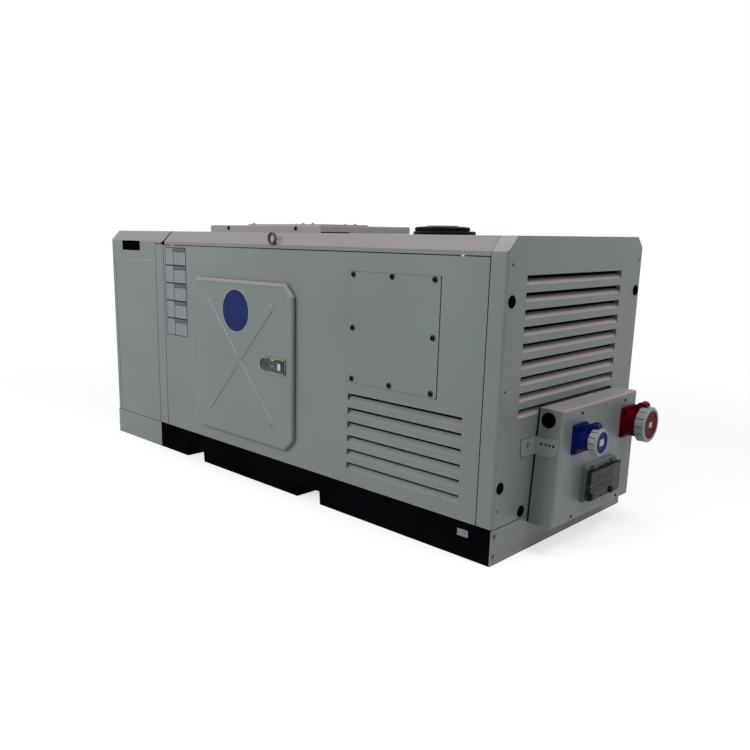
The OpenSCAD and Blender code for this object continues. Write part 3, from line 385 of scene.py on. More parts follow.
AXES = {                      # local X, Y and Z of a shape that is set on each side of the object
    "front": ((1, 0, 0), (0, 0, 1), (0, -1, 0)),
    "rear": ((-1, 0, 0), (0, 0, 1), (0, 1, 0)),
    "right": ((0, 1, 0), (0, 0, 1), (1, 0, 0)),
    "left": ((0, -1, 0), (0, 0, 1), (-1, 0, 0)),
    "top": ((1, 0, 0), (0, 1, 0), (0, 0, 1)),
}


def revolved(profile, count=20, closed=False):
    """Turns (radius, height) points in mm about Z. A closed profile makes a ring."""
    points, faces, rows = [], [], []
    for radius, height in profile:
        around = count if radius > 0.001 else 1
        rows.append(range(len(points), len(points) + around))
        for i in range(around):
            angle = 2 * math.pi * i / count
            points.append((radius * MM * math.cos(angle), radius * MM * math.sin(angle), height * MM))
    pairs = list(zip(rows, rows[1:])) + ([(rows[-1], rows[0])] if closed else [])
    for low, high in pairs:
        for i in range(count):
            j = (i + 1) % count
            corners = (low[i % len(low)], low[j % len(low)], high[j % len(high)], high[i % len(high)])
            corners = tuple(dict.fromkeys(corners))
            if len(corners) > 2:
                faces.append(corners)
    return points, faces


def prism(outline, low, high, edge=0.0):
    """Extrudes an (x, y) outline in mm between two heights, its upper edge cut back by edge."""
    middle = Vector((sum(x for x, y in outline), sum(y for x, y in outline))) / len(outline)

    def ring(height, inset):
        found = []
        for x, y in outline:
            out = Vector((x, y)) - middle
            x, y = middle + out * (1 - inset / max(out.length, inset + 0.001))
            found.append((x * MM, y * MM, height * MM))
        return found
    count = len(outline)
    points = ring(low, 0) + ring(high - edge, 0) + (ring(high, edge) if edge else [])
    levels = len(points) // count
    faces = [tuple(reversed(range(count))), tuple(range(count * (levels - 1), count * levels))]
    for level in range(levels - 1):
        for i in range(count):
            j = (i + 1) % count
            base = level * count
            faces.append((base + i, base + j, base + count + j, base + count + i))
    return points, faces


def rounded(width, height, radius, steps=4):
    """Outline of a rectangle with round corners, centred on the origin, in mm."""
    outline = []
    for corner, (sx, sy) in enumerate(((1, 1), (-1, 1), (-1, -1), (1, -1))):
        for i in range(steps + 1):
            angle = math.radians(90 * corner + 90 * i / steps)
            outline.append((sx * (width / 2 - radius) + radius * math.cos(angle),
                            sy * (height / 2 - radius) + radius * math.sin(angle)))
    return outline


def route(*places):
    """Smooth curve through places in mm, as Vectors in metres."""
    points = [Vector((x * MM, y * MM, z * MM)) for x, y, z in places]
    ends = [2 * points[0] - points[1]] + points + [2 * points[-1] - points[-2]]
    steps = 6
    path = []
    for a, b, c, d in zip(ends, ends[1:], ends[2:], ends[3:]):
        for i in range(steps):
            t = i / steps
            path.append(0.5 * (2 * b + (c - a) * t + (2 * a - 5 * b + 4 * c - d) * t ** 2
                               + (3 * b - a - 3 * c + d) * t ** 3))
    return path + [points[-1]]


def tube(path, radius, count):
    """Round tube along Vectors in metres, its radius in mm."""
    points, faces = [], []
    normal = (path[1] - path[0]).orthogonal().normalized()
    for i, place in enumerate(path):
        along = (path[min(i + 1, len(path) - 1)] - path[max(i - 1, 0)]).normalized()
        normal = (normal - along * normal.dot(along)).normalized()
        other = along.cross(normal)
        for j in range(count):
            angle = 2 * math.pi * j / count
            points.append(place + (normal * math.cos(angle) + other * math.sin(angle)) * radius * MM)
    for i in range(len(path) - 1):
        for j in range(count):
            k = (j + 1) % count
            faces.append((i * count + j, i * count + k, (i + 1) * count + k, (i + 1) * count + j))
    faces += [tuple(range(count)), tuple(range(len(points) - count, len(points)))]
    return points, faces


def placed(shape, side, place):
    """Sets a shape down on a side of the object, at a place in metres."""
    x, y, z = (Vector(axis) for axis in AXES[side])
    points, faces = shape
    return [Vector(place) + x * p[0] + y * p[1] + z * p[2] for p in points], faces


def set_down(side, places, kind):
    """Sets the (shape, material name) pairs of kind down on a side, at each place in metres."""
    return [(placed(shape, side, place), material) for place in places for shape, material in kind]


def add_piece(name, body, parts, sharp=35):
    """Makes one piece from (shape, material name) parts, riding on a body."""
    points, faces, slots, names = [], [], [], []
    for (shape_points, shape_faces), material in parts:
        if material not in names:
            names.append(material)
        faces += [tuple(i + len(points) for i in face) for face in shape_faces]
        slots += [names.index(material)] * len(shape_faces)
        points += shape_points
    mesh = bpy.data.meshes.new(name)
    mesh.from_pydata(points, [], faces)
    for material in names:
        mesh.materials.append(MATERIALS[material])
    mesh.polygons.foreach_set("material_index", slots)
    work = bmesh.new()
    work.from_mesh(mesh)
    bmesh.ops.recalc_face_normals(work, faces=work.faces)
    work.to_mesh(mesh)
    work.free()
    mesh.shade_smooth()
    mesh.set_sharp_from_angle(angle=math.radians(sharp))
    piece = add_object(name, mesh)
    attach(piece, body)
    return piece


def middle(node):
    """Centre of a CAD node's box at rest."""
    low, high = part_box(node)
    return (low + high) / 2


# ---- fasteners ----

def hex_bolt(across, washer, material="bolt_zinc"):
    """Hexagon bolt on a washer, with a dished head; sizes in mm."""
    corner = across / math.sqrt(3)
    turns = [math.radians(60 * i + 15) for i in range(6)]
    hexagon = [(corner * math.cos(turn), corner * math.sin(turn)) for turn in turns]
    rise = across * 0.42
    plate = revolved([(0, -0.2), (washer, -0.2), (washer, 1.0), (washer - 0.5, 1.4), (0, 1.4)])
    head = prism(hexagon, 1.3, 1.4 + rise, across * 0.07)
    dish = revolved([(across * 0.32, 1.4 + rise), (across * 0.3, 1.7 + rise),
                     (across * 0.2, 1.8 + rise), (0, 1.8 + rise)], 16)
    return [(shape, material) for shape in (plate, head, dish)]


def socket_screw(radius, washer):
    """Dark round-headed screw with a hexagon socket, on a washer."""
    top = radius * 0.62 + 1.0
    plate = revolved([(0, -0.2), (washer, -0.2), (washer, 0.7), (washer - 0.4, 1.0), (0, 1.0)])
    head = revolved([(radius, 0.9), (radius, 1.0 + radius * 0.25), (radius * 0.85, top - 0.25),
                     (radius * 0.6, top), (radius * 0.5, top), (radius * 0.45, 1.4), (0, 1.3)])
    return [(plate, "bolt_grey"), (head, "bolt_dark")]


def cross_screw(radius):
    """Dark pan-headed screw with a cross slot, the slot drawn as painted shade on the head."""
    top = radius * 0.55
    dome = revolved([(radius, -0.2), (radius, top * 0.4), (radius * 0.8, top * 0.85),
                     (radius * 0.45, top), (0, top)])
    bar = rounded(radius * 1.1, radius * 0.28, 0.1, 1)
    slots = [prism([(x * a + y * b, x * b - y * a) for x, y in bar], top - 0.1, top + 0.06)
             for a, b in ((0.8, 0.6), (-0.6, 0.8))]
    return [(dome, "bolt_dark")] + [(slot, "recess_shade_dark") for slot in slots]


def fasteners(name, kind, side, places):
    """One piece on the canopy, with the same fastener at every place."""
    add_piece(name, "canopy", set_down(side, places, kind))


def add_panel_fasteners():
    """Bolts round the front cover and on the base's end plate, and screws down both ends."""
    low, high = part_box("front_cover")
    across = [low.x + 22 * MM, (low.x + high.x) / 2, high.x - 20 * MM]
    up = [low.z + 12 * MM, (low.z + high.z) / 2, high.z - 9 * MM]
    round_edge = [(x, low.y, z) for z in up for x in across if not (x == across[1] and z == up[1])]
    fasteners("cover_bolts", socket_screw(7.2, 10), "front", round_edge)

    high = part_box("base_end_plate")[1]
    spots = ((19 * MM, 85 * MM), (18 * MM, 26 * MM))
    fasteners("base_end_bolts", hex_bolt(11, 9), "right",
              [(high.x, side * (high.y - inset), z) for side in (-1, 1) for inset, z in spots])

    edge_y, heights = 366, (827, 492, 157)
    columns = [(side * edge_y * MM, z * MM) for side in (-1, 1) for z in heights]
    sunk = 2.5 * MM               # the right end's screws sit this deep in its holes
    right_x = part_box("right_end_panel")[1].x - sunk
    left_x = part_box("left_end_panel")[0].x
    fasteners("end_screws", cross_screw(3.8), "right", [(right_x, y, z) for y, z in columns])
    fasteners("left_end_screws", cross_screw(4.2), "left", [(left_x, y, z) for y, z in columns])


def add_socket_box_fasteners():
    """Screws of the socket box's cover, and those of the bracket plate beside it."""
    cover_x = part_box("socket_box_cover")[1].x
    corners = ((-84, 407), (188, 407), (-102, 99), (182, 98))
    fasteners("box_screws", cross_screw(4.5), "right", [(cover_x, y * MM, z * MM) for y, z in corners])

    low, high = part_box("tab_plate")
    row_z = high.z - 19 * MM
    fold_y, plate_x = low.y + 71.6 * MM, low.x + 2 * MM
    fasteners("tab_side_screws", cross_screw(3.4), "front",
              [(high.x - inset * MM, fold_y, row_z) for inset in (12, 24, 36, 50)])
    fasteners("tab_bolt", hex_bolt(8, 7), "right", [(plate_x, low.y + 33 * MM, row_z)])


def add_other_fasteners():
    """Bolts of the roof panel and the rear door, and screws in the sockets' flanges."""
    low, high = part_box("roof_panel")
    fasteners("roof_panel_bolts", hex_bolt(9, 8, "bolt_dark"), "front",
              [(low.x + along * MM, low.y, low.z + 15 * MM) for along in (120, 510)])
    fasteners("hatch_screws", hex_bolt(7, 7), "top",
              [(low.x + along * MM, y * MM, high.z) for along in (255, 529, 579) for y in (-222, -8)])

    for colour in ("blue", "red"):
        low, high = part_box(colour + "_socket")
        flange_x, half = low.x + 13 * MM, (high.y - low.y) / 2 - 11 * MM
        centre = middle(colour + "_lid_ring")
        fasteners(colour + "_socket_screws", cross_screw(4.2), "right",
                  [(flange_x, centre.y + sy * half, centre.z + sz * half)
                   for sy in (-1, 1) for sz in (-1, 1)])

    low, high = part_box("rear_door")
    edge, end = 30 * MM, 60 * MM
    fasteners("rear_door_bolts", socket_screw(6, 8.5), "rear",
              [(x, high.y, z) for x in (low.x + edge, high.x - edge)
               for z in (low.z + end, middle("rear_door").z, high.z - end)])


# ---- louvred front panel ----

def holed_sheet(low, high, holes, thick):
    """Upright sheet in the XZ plane between two corners, with oblong holes cut through it; all in mm."""
    across = sorted({low[0], high[0], *(x for hole in holes for x in (hole[0], hole[2]))})
    up = sorted({low[1], high[1], *(z for hole in holes for z in (hole[1], hole[3]))})

    def solid(i, j):
        if not (0 <= i < len(across) - 1 and 0 <= j < len(up) - 1):
            return False
        x, z = (across[i] + across[i + 1]) / 2, (up[j] + up[j + 1]) / 2
        return not any(x0 < x < x1 and z0 < z < z1 for x0, z0, x1, z1 in holes)
    points = [(x * MM, y * MM, z * MM) for y in (0, thick) for z in up for x in across]

    def corner(i, j, back):
        return (back * len(up) + j) * len(across) + i
    faces = []
    for i in range(len(across) - 1):
        for j in range(len(up) - 1):
            if not solid(i, j):
                continue
            ring = [(i, j), (i + 1, j), (i + 1, j + 1), (i, j + 1)]
            faces.append(tuple(corner(a, b, 0) for a, b in ring))
            faces.append(tuple(corner(a, b, 1) for a, b in reversed(ring)))
            beside = [(i, j - 1), (i + 1, j), (i, j + 1), (i - 1, j)]
            for side in range(4):
                if not solid(*beside[side]):
                    a, b = ring[side], ring[(side + 1) % 4]
                    faces.append((corner(*a, 1), corner(*b, 1), corner(*b, 0), corner(*a, 0)))
    used = sorted({i for face in faces for i in face})
    place = {old: new for new, old in enumerate(used)}
    return [points[i] for i in used], [tuple(place[i] for i in face) for face in faces]


def add_louvred_panel():
    """Front panel beside the door, with its louvres at their full pitch and its two drain slots."""
    low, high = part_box("front_panel_right")
    door_low, door_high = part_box("front_door")
    sheet = 2
    bank_x, length = 669, 442
    count, top, pitch, slot = 6, 406, 45.3, 25
    deep, rise = 16, 15           # how far a blade leans in, and how high its inner edge is
    drain_half, drain_low, drain_high = 12, 153, 157
    bottoms = [(top - pitch * i) - slot for i in range(count)]
    holes = [(bank_x - length / 2, z, bank_x + length / 2, z + slot) for z in bottoms]
    holes += [(x - drain_half, drain_low, x + drain_half, drain_high) for x in (508, 825)]
    points, faces = holed_sheet((low.x / MM, low.z / MM), (high.x / MM, high.z / MM), holes, sheet)
    parts = [(([Vector(point) + Vector((0, low.y, 0)) for point in points], faces), "canopy_grey")]

    blade = prism([(0, 0), (deep - sheet, rise), (deep, rise), (sheet, 0)], -length / 2, length / 2)
    cap = [(1, 0.94), (deep, rise), (deep, slot - 2), (1, slot - 0.1)]
    caps = [prism(cap, length / 2, length / 2 + sheet), prism(cap, -length / 2 - sheet, -length / 2)]
    parts += set_down("right", [(bank_x * MM, low.y, z * MM) for z in bottoms],
                      [(shape, "blade_top_lit_grey") for shape in [blade] + caps])

    inset, front, back = 23.4, 0.1, 12   # the fold by the doorway ends this far inside the door's edge
    bottom, top = door_low.z / MM + inset, door_high.z / MM - inset
    fold = prism([(front, bottom), (back, bottom), (back, top), (front, top)], 0, sheet)
    parts += set_down("right", [(low.x, low.y, 0)], [(fold, "canopy_grey")])
    piece = add_piece("louvred_front_panel", "canopy", parts)
    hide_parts("front_panel_right")


# ---- seams, seals and foam ----

def strip(side, low, high, thick, material):
    """Flat strip with a bevelled face between two corners on an upright side, thick in mm."""
    x, y = (Vector(axis) for axis in AXES[side][:2])
    low, high = Vector(low), Vector(high)
    width, height = abs((high - low).dot(x)) / MM, abs((high - low).dot(y)) / MM
    edge = min(0.4, thick / 3, width / 4, height / 4)
    outline = [(sx * width / 2, sy * height / 2) for sx, sy in ((-1, -1), (1, -1), (1, 1), (-1, 1))]
    return placed(prism(outline, 0, thick, edge), side, (low + high) / 2), material


def add_seam_shading():
    """Strips that lie in the gaps between the panels, on both long sides: the black and dark grey ones are
    painted shade in the gaps, the pale one over the left front panel a painted highlight where its top edge
    catches the light.
    """
    seam, inset = 3 * MM, 1.9 * MM
    lip_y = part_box("roof")[1].y - inset
    low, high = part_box("front_panel_left")
    left, bottom, top = low.x, low.z, high.z
    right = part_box("front_panel_right")[1].x
    module_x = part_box("left_skirt")[1].x
    post_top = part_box("front_left_post")[1].z
    low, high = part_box("left_front_panel")
    gaps = [(left, top, right + seam, top + seam, "seam_black"),
            (right, bottom, right + seam, top, "seam_black"),
            (left - seam, bottom, left, top, "seam_black"),
            (high.x, bottom, module_x, post_top, "painted_shade_dark"),
            (low.x, high.z, high.x, high.z + seam, "painted_highlight_pale"),
            (low.x - seam, low.z, low.x, high.z, "painted_shade_dark")]
    for side, turn in (("front", -1), ("rear", 1)):
        y = turn * lip_y
        parts = [strip(side, (x0, y, z0), (x1, y, z1), 1.2 if material == "painted_highlight_pale" else 0.6, material)
                 for x0, z0, x1, z1, material in gaps]
        add_piece(side + "_seam_shading_strips", "canopy", parts)


def add_door_highlight():
    """Thin pale strip round the top of the door's face: a painted highlight where its folded edge catches the
    light.
    """
    low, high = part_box("front_door")
    centre = middle("front_door")
    half_w, half_h = (high.x - low.x) / MM / 2, (high.z - low.z) / MM / 2
    cut, outer, inner = 40, 8.5, 10.7   # the door's cut corner, and the highlight strip's two edges inside it
    outline = []
    for inset, order in ((outer, 1), (inner, -1)):
        bend = cut + (math.sqrt(2) - 1) * inset
        line = [(-(half_w - bend), half_h - inset), (half_w - bend, half_h - inset),
                (half_w - inset, half_h - bend)]
        outline += line[::order]
    highlight_strip = prism(outline[::-1], -0.4, 0.9)
    add_piece("door_highlight", "front_door",
              set_down("front", [(centre.x, low.y, centre.z)], [(highlight_strip, "painted_highlight_pale")]))


def foam_sheet(side, centre, width, height, thick, pitch=0.02):
    """Sheet of foam with a wavy face, centred on a place, sizes in metres."""
    across, up = int(width / pitch) * 4, int(height / pitch) * 4
    points, faces = [], []
    for back in (0, 1):
        for j in range(up + 1):
            for i in range(across + 1):
                u, v = width * (i / across - 0.5), height * (j / up - 0.5)
                wave = math.cos(2 * math.pi * u / pitch) * math.cos(2 * math.pi * v / pitch)
                depth = 0 if back else thick * (0.72 + 0.28 * wave)
                points.append((u, v, depth))
    row = across + 1
    size = row * (up + 1)
    for j in range(up):
        for i in range(across):
            a = j * row + i
            faces.append((a, a + 1, a + row + 1, a + row))
    for i in range(across):
        for a in (i, up * row + i):
            faces.append((a, a + 1, a + 1 + size, a + size))
    for j in range(up):
        for a in (j * row, j * row + across):
            faces.append((a, a + row, a + row + size, a + size))
    back = [size, size + across, 2 * size - 1, 2 * size - 1 - across]
    return placed((points, faces + [tuple(back)]), side, centre)


def add_foam():
    """Sound-proofing foam behind the louvres and in the door."""
    thick, smooth_to = 0.02, 60
    wall_y = -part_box("front_panel_right")[0].y - 42 * MM
    wall_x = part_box("right_end_panel")[1].x - 45 * MM
    bank_x, bank_z, end_z = 669 * MM, 262 * MM, 600 * MM
    for side, place, width, height in (("front", (bank_x, -wall_y, bank_z), 0.52, 0.30),
                                       ("rear", (bank_x, wall_y, bank_z), 0.52, 0.30),
                                       ("right", (wall_x, -20 * MM, end_z), 0.62, 0.46),
                                       ("left", (-wall_x, 0, end_z), 0.62, 0.46)):
        add_piece(side + "_louvre_foam", "canopy",
                  [(foam_sheet(side, place, width, height, thick), "foam_black")], smooth_to)
    low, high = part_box("front_door")
    place = ((low.x + high.x) / 2, low.y + 6 * MM, (low.z + high.z) / 2)
    margin = 0.1
    sheet = foam_sheet("rear", place, high.x - low.x - margin, high.z - low.z - margin, 0.009)
    add_piece("door_foam", "front_door", [(sheet, "foam_black")], smooth_to)


def add_cover_shade_line():
    """Painted shade: a dark line round the bolted cover, where its edge casts shade."""
    low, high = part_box("front_cover")
    side, below, above = 1.5 * MM, 1.0 * MM, 0.4 * MM
    add_piece("cover_shade_line", "canopy",
              [strip("front", (low.x - side, high.y, low.z - below),
                     (high.x + side, high.y, high.z + above), 1.0, "seam_black")])


# ---- signs, labels and clips ----

def add_door_sign():
    """Plain blue disc with a thin white rim on the door."""
    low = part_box("front_door")[0]
    place = (middle("front_door").x - 11 * MM, low.y + 3 * MM, low.z + 467 * MM)
    disc = [(revolved([(0, -0.2), (77, -0.2), (77, 0.5), (76.4, 0.7), (0, 0.7)], 64), "label_white"),
            (revolved([(75.6, 0.6), (75.6, 0.85), (0, 0.85)], 64), "sign_blue")]
    add_piece("door_sign", "front_door", set_down("front", [place], disc))


def add_panel_label():
    """Blank label beside the door: five rows of a square cell and a cell under a grey bar."""
    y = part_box("front_panel_left")[0].y
    left, right, low, high = (value * MM for value in (-581, -437, 490, 838))
    rows = 5
    step = (high - low) / rows
    split, line, gap, border = left + 58 * MM, 1.5 * MM, 2.5 * MM, 3 * MM
    bar_bottom, cell_top = 13 * MM, 15 * MM   # both below the top of the row
    parts = [strip("front", (left, y, low), (right, y, high), 0.5, "label_edge")]
    for i in range(rows):
        bottom, top = low + i * step + gap, low + (i + 1) * step - gap
        for x0, z0, x1, z1, material in (
                (left + border, bottom, split - line, top, "label_pale"),
                (split + line, bottom, right - border, top - cell_top, "label_pale"),
                (split + line, top - bar_bottom, right - border, top, "label_grey")):
            parts.append(strip("front", (x0, y, z0), (x1, y, z1), 0.75, material))
    add_piece("panel_label", "canopy", parts)


def add_small_labels():
    """Blank labels on the left hood, the base and the two socket lids."""
    low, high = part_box("left_hood")
    top, tall = high.z - 40 * MM, 40 * MM
    add_piece("hood_label", "canopy",
              [strip("front", (-912 * MM, low.y, top - tall), (-772 * MM, low.y, top), 0.6, "label_black")])
    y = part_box("base_frame")[0].y
    add_piece("base_label", "canopy",
              [strip("front", (892 * MM, y, 63 * MM), (929 * MM, y, 84 * MM), 0.5, "label_pale")])
    for colour, size in (("blue", 24), ("red", 20)):
        centre = middle(colour + "_lid_ring")
        face_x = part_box(colour + "_lid")[1].x - MM
        label = prism(rounded(size, size * 0.8, 2), -0.3, 0.5, 0.2)
        add_piece(colour + "_lid_label", colour + "_lid",
                  set_down("right", [(face_x, centre.y, centre.z)], [(label, "label_white")]))


def add_clips():
    """Spring clips that hold the roof's side lip, seen in the gap under it."""
    low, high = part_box("front_panel_left")
    gap_z = high.z + 1.5 * MM
    clip = [(prism(rounded(16, 4.4, 1.6), -1.5, 1.2, 0.5), "bolt_zinc"),
            (prism(rounded(7, 6.4, 1.5), -1.5, 1.7, 0.5), "clip_metal")]
    for side, y in (("front", low.y), ("rear", -low.y)):
        places = [(x * MM, y, gap_z) for x in (-526, 865)]
        add_piece(side + "_clips", "canopy", set_down(side, places, clip))


# ---- socket box fittings ----

def add_box_gap_shade():
    """Painted shade: a black sheet in the gap between the socket box and the end panel, where shade falls."""
    low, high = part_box("socket_box")
    lean, inset, lift = 24 * MM, 1, 2
    left, right, bottom, top = low.y / MM + inset, high.y / MM - inset, low.z / MM + lift, high.z / MM - lift
    outline = [(left, bottom), (right, bottom), (right, top), ((low.y + lean) / MM + inset, top)]
    add_piece("box_gap_shade", "canopy",
              set_down("right", [(low.x, 0, 0)], [(prism(outline, 0, 4.5, 0.5), "seam_black")]))


def add_tab_shadow_outline():
    """Thin dark pad behind the tab plate, which shows as a painted shadow line around it."""
    low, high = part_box("tab_plate")
    width, height, cut, border = 62, (high.z - low.z) / MM + 3, 12, 1.5 * MM
    outline = [(0, cut), (cut, 0), (width, 0), (width, height), (0, height)]
    add_piece("tab_shadow_outline", "canopy",
              set_down("right", [(low.x, low.y - border, low.z - border)],
                       [(prism(outline, 0, 0.6, 0.2), "painted_shade_dark")]))


def add_ring_marks():
    """Dark strips in the grip grooves of the sockets' locking rings."""
    grooves, back = 14, Vector((2.5 * MM, 0, 0))
    for colour in ("blue", "red"):
        low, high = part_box(colour + "_lid_ring")
        centre, radius = (low + high) / 2, (high.z - low.z) / 2 / MM
        points, faces = prism(rounded((high.x - low.x) / MM - 6, 2.4, 0.6), -1.1, -0.4, 0.2)
        parts = []
        for i in range(grooves):
            angle = 2 * math.pi * (i + 0.5) / grooves
            out = Vector((0, -math.sin(angle), math.cos(angle)))
            along = Vector((0, math.cos(angle), math.sin(angle)))
            start = centre + out * radius * MM - back
            moved = [start + Vector((1, 0, 0)) * p[0] + along * p[1] + out * p[2] for p in points]
            parts.append(((moved, faces), "ring_mark"))
        add_piece(colour + "_ring_marks", colour + "_lid", parts)


def add_breaker_faces():
    """Dark faces, toggles, screws and joints on the row of breakers."""
    low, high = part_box("breakers")
    count = 8
    pitch = (high.y - low.y) / (count - 0.03)
    face_x, body_x = low.x + 8 * MM, low.x + 6 * MM
    window = [(prism(rounded(12, 20, 1.5), 0, 0.5, 0.2), "breaker_dark")]
    toggle = [(prism(rounded(8.8, 9, 1.2), 1, 4.4, 1.0), "knob_black")]
    mark = [(prism(rounded(13, 5, 0.6), 0, 0.4, 0.1), "label_pale")]
    screw = [(revolved([(3.4, -0.1), (3.4, 0.5), (2.4, 0.6), (2.2, 0.2), (0, 0.1)], 14), "breaker_dark")]
    joint = [(prism(rounded(1.4, 78, 0.3, 1), 0, 2.3, 0.2), "breaker_dark")]
    parts = []
    for i in range(count):
        y = low.y + pitch * (i + 0.5)
        for kind, x, place_y, up in ((window, face_x, y, 44), (toggle, face_x, y, 40), (mark, face_x, y, 26),
                                     (screw, body_x, y, 9), (screw, body_x, y, 72),
                                     (joint, body_x, y + pitch / 2, 40)):
            parts += set_down("right", [(x, place_y, low.z + up * MM)], kind)
    add_piece("breaker_faces", "canopy", parts)


def add_latch_shading():
    """Painted shade and reflection on the floor of the latch's dish as a dark teal sheet, trim of its lock,
    and a painted highlight on its paddle as a bright bar.
    """
    low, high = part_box("latch_plate")
    centre = middle("latch_plate")
    rim, steps = 6.5, 16
    radius, half = (high.z - low.z) / MM / 2 - rim, (high.x - low.x) / MM / 2 - rim
    turns = [math.pi / 2 + math.pi * i / steps for i in range(steps + 1)]
    round_end = [(radius - half + radius * math.cos(turn), radius * math.sin(turn)) for turn in turns]
    # Painted shade: a dark sheet over the dish's floor.
    dish = prism([(half - 1, radius - 1)] + round_end + [(half - 1, 1 - radius)], 0, 0.35, 0.1)
    collar = revolved([(13.3, -7), (13.3, -3.4), (12.4, -2.4), (11.1, -2.4), (11.1, -7)], 32, True)
    core = revolved([(9.4, -0.6), (9.4, 0.25), (8.6, 0.45), (0, 0.45)], 32)
    # Painted shade: the keyway drawn as a dark slot on the lock's face.
    keyway = prism(rounded(2.4, 9, 1), 0.3, 0.6)
    lock = [(collar, "clip_metal"), (core, "latch_shade_reflection"), (keyway, "recess_shade_dark")]
    add_piece("latch_shading_and_lock", "front_door",
              set_down("front", [(centre.x, high.y - 1.6 * MM, centre.z)], [(dish, "latch_shade_reflection")])
              + set_down("front", [(centre.x + 2 * MM, low.y, centre.z + 9 * MM)], lock))

    low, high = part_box("latch_paddle")
    centre = middle("latch_paddle")
    # Painted highlight: a bright bar on the paddle where its chrome catches the light.
    grip = prism(rounded(13, (high.z - low.z) / MM - 14, 2.5), -2, 1.2, 0.8)
    add_piece("paddle_highlight_bar", "latch_paddle",
              set_down("front", [(centre.x + 4 * MM, low.y + 3.2 * MM, centre.z)], [(grip, "clip_metal")]))


def add_flap_trim():
    """Dark edge round the clear flap, and the two black knobs which pull it open."""
    low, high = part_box("breaker_flap")
    centre = middle("breaker_flap")
    width = (high.y - low.y) / MM
    bar, edge = 1.2 * MM, 1.6 * MM   # how far the grip bar stands out, and the edge's inset
    top, bottom = high.z - 15 * MM, low.z + edge
    upright, half_up = (top - bottom) / MM, (top + bottom) / 2
    edges = [(width - 2, 4, centre.y, top), (width - 2, 2, centre.y, bottom),
             (2, upright, low.y + edge, half_up), (2, upright, high.y - edge, half_up)]
    parts = []
    for wide, tall, y, z in edges:
        parts += set_down("right", [(high.x - bar, y, z)],
                          [(prism(rounded(wide, tall, 0.8), -0.5, 0.5, 0.2), "seam_black")])
    add_piece("flap_edge", "breaker_flap", parts)
    knob = revolved([(11, -3), (11, 2), (9.4, 3.4), (9.6, 5), (8, 6.8), (0, 7.6)], 28)
    for number, (y, z) in enumerate(((-45, 152), (80, 148))):
        add_piece("flap_knob_%d" % number, "breaker_flap",
                  set_down("right", [(high.x - 1.5 * MM, y * MM, z * MM)], [(knob, "knob_black")]))


def add_cap_ribs():
    """Grip ribs around the round cap and a moulded ring on its top."""
    low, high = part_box("filler_cap")
    centre = middle("filler_cap")
    count, radius = 48, (high.x - low.x) / 2 / MM
    turns = [2 * math.pi * i / count for i in range(count)]
    places = [(centre.x + radius * MM * math.cos(turn), centre.y + radius * MM * math.sin(turn), low.z)
              for turn in turns]
    rib = revolved([(0, 2.5), (1.3, 2.5), (1.3, 7.2), (0.6, 8), (0, 8)], 6)
    ring = revolved([(46, 13.2), (46, 15.2), (44.5, 15.8), (43, 15.2), (43, 13.2)], 48, True)
    add_piece("cap_ribs", "canopy",
              set_down("top", places, [(rib, "cap_black")])
              + set_down("top", [(centre.x, centre.y, low.z)], [(ring, "cap_black")]))


# ---- engine bay ----

def belt_loop(x, low_z, low_r, high_z, high_r):
    """V-belt around two pulleys on X axes in the plane at x; sizes in mm."""
    tilt = math.asin((low_r - high_r) / (high_z - low_z))
    steps = 16
    outline = []
    for z, radius, start in ((high_z, high_r, tilt), (low_z, low_r, math.pi - tilt)):
        sweep = math.pi - 2 * tilt if z == high_z else math.pi + 2 * tilt
        for i in range(steps + 1):
            angle = start + sweep * i / steps
            out_y, out_z = math.cos(angle), math.sin(angle)
            outline.append((radius * out_y, z + radius * out_z, out_y, out_z))
    section = ((-5, 0), (5, 0), (3, -7), (-3, -7))
    points = [((x + dx) * MM, (y + dr * out_y) * MM, (z + dr * out_z) * MM)
              for y, z, out_y, out_z in outline for dx, dr in section]
    faces = []
    count = len(outline)
    for i in range(count):
        j = (i + 1) % count
        for k in range(4):
            m = (k + 1) % 4
            faces.append((i * 4 + k, i * 4 + m, j * 4 + m, j * 4 + k))
    return points, faces


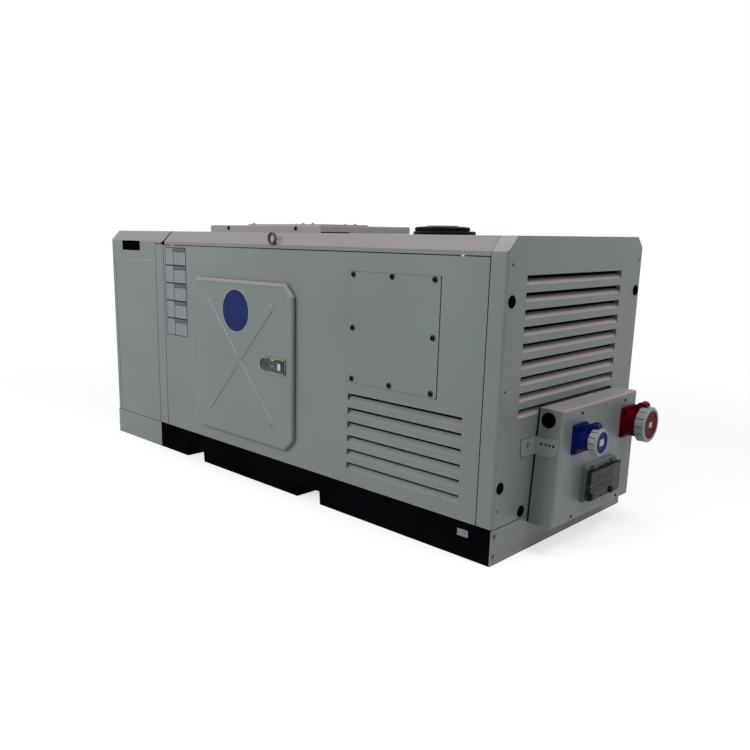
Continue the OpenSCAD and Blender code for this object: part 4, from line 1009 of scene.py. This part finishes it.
def add_hoses_and_wires():
    """Belt, coolant hoses with clamps, injector and fuel pipes, and loom of the engine."""
    belt_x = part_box("engine")[0].x / MM + 14 + 40
    add_piece("fan_belt", "canopy", [(belt_loop(belt_x, 300, 66, 430, 48), "foam_black")])

    top_hose = route((-486, 120, 700), (-450, 120, 704), (-400, 100, 690), (-370, 80, 640),
                     (-350, 60, 600), (-314, 60, 560))
    low_hose = route((-486, -150, 176), (-450, -152, 176), (-410, -140, 196), (-370, -110, 240),
                     (-345, -90, 262), (-318, -90, 268))
    parts = []
    for path in (top_hose, low_hose):
        parts.append((tube(path, 19, 16), "foam_black"))
        for i in (1, 2, -3):
            clamp = [path[i], path[i] + (path[i + 1] - path[i]).normalized() * 9 * MM]
            parts.append((tube(clamp, 20.5, 20), "clip_metal"))
    add_piece("radiator_hoses", "canopy", parts)

    parts = []
    for i, x in enumerate((-220, -175, -130)):
        injector_x = -250 + 120 * i
        path = route((x, -162, 484), (x, -170, 520), (x - 30 + 20 * i, -150, 552),
                     (injector_x, -118, 556), (injector_x, -96, 545))
        parts.append((tube(path, 3.2, 8), "clip_metal"))
    path = route((-120, -140, 440), (-60, -160, 410), (0, -165, 380), (60, -150, 395))
    parts.append((tube(path, 5, 8), "foam_black"))
    add_piece("fuel_pipes", "canopy", parts)

    wires = []
    for k, material in enumerate(("foam_black", "wire_red", "foam_black")):
        path = route((228, -60 + 9 * k, 560), (190, -62 + 9 * k, 545), (140, -128, 500 + 9 * k),
                     (20, -126, 512 + 8 * k), (-120, -124, 510 + 8 * k), (-240, -122, 516 + 8 * k))
        wires.append((tube(path, 3.6, 8), material))
    add_piece("engine_wiring", "canopy", wires)


def add_engine_fittings():
    """Bolts and screws of the engine and alternator, the oil cap and the dipstick."""
    low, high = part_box("alternator")
    bell_x, bell_r, axle_z = low.x + 34 * MM, 174, 340
    turns = [math.radians(30 * i + 15) for i in range(12)]
    fasteners("bell_bolts", hex_bolt(10, 8), "right",
              [(bell_x, bell_r * MM * math.cos(turn), (axle_z + bell_r * math.sin(turn)) * MM)
               for turn in turns])
    fasteners("terminal_box_screws", cross_screw(4.5), "top",
              [(x * MM, y * MM, high.z) for x in (234, 436) for y in (-95, 95)])
    fasteners("head_bolts", hex_bolt(12, 11), "top",
              [(x * MM, y * MM, 575 * MM) for x in (-290, -200, -110, -20, 70) for y in (-84, 84)])
    fasteners("side_bolts", hex_bolt(12, 11), "front",
              [(x * MM, -115 * MM, z * MM) for x in (-309, 90) for z in (270, 350, 430)])
    cap = revolved([(0, 0), (26, 0), (26, 4), (22, 7), (22, 16), (19, 19), (0, 19)], 24)
    add_piece("oil_cap", "canopy",
              set_down("top", [(40 * MM, 0, 631 * MM)], [(cap, "cap_black")]))
    stick = route((-10, -118, 330), (-10, -150, 420), (-10, -165, 470))
    loop = route((-10, -165, 470), (-22, -168, 486), (-10, -171, 502), (2, -168, 486), (-10, -165, 470))
    add_piece("dipstick", "canopy",
              [(tube(stick, 4, 8), "clip_metal"), (tube(loop, 2.2, 8), "wire_yellow")])


make_camera()
make_studio()
MATERIALS = make_materials()
dress_cad_nodes()
add_louvred_panel()
add_panel_fasteners()
add_socket_box_fasteners()
add_other_fasteners()
add_seam_shading()
add_door_highlight()
add_foam()
add_cover_shade_line()
add_door_sign()
add_panel_label()
add_small_labels()
add_clips()
add_flap_trim()
add_box_gap_shade()
add_tab_shadow_outline()
add_ring_marks()
add_breaker_faces()
add_latch_shading()
add_cap_ribs()
add_hoses_and_wires()
add_engine_fittings()
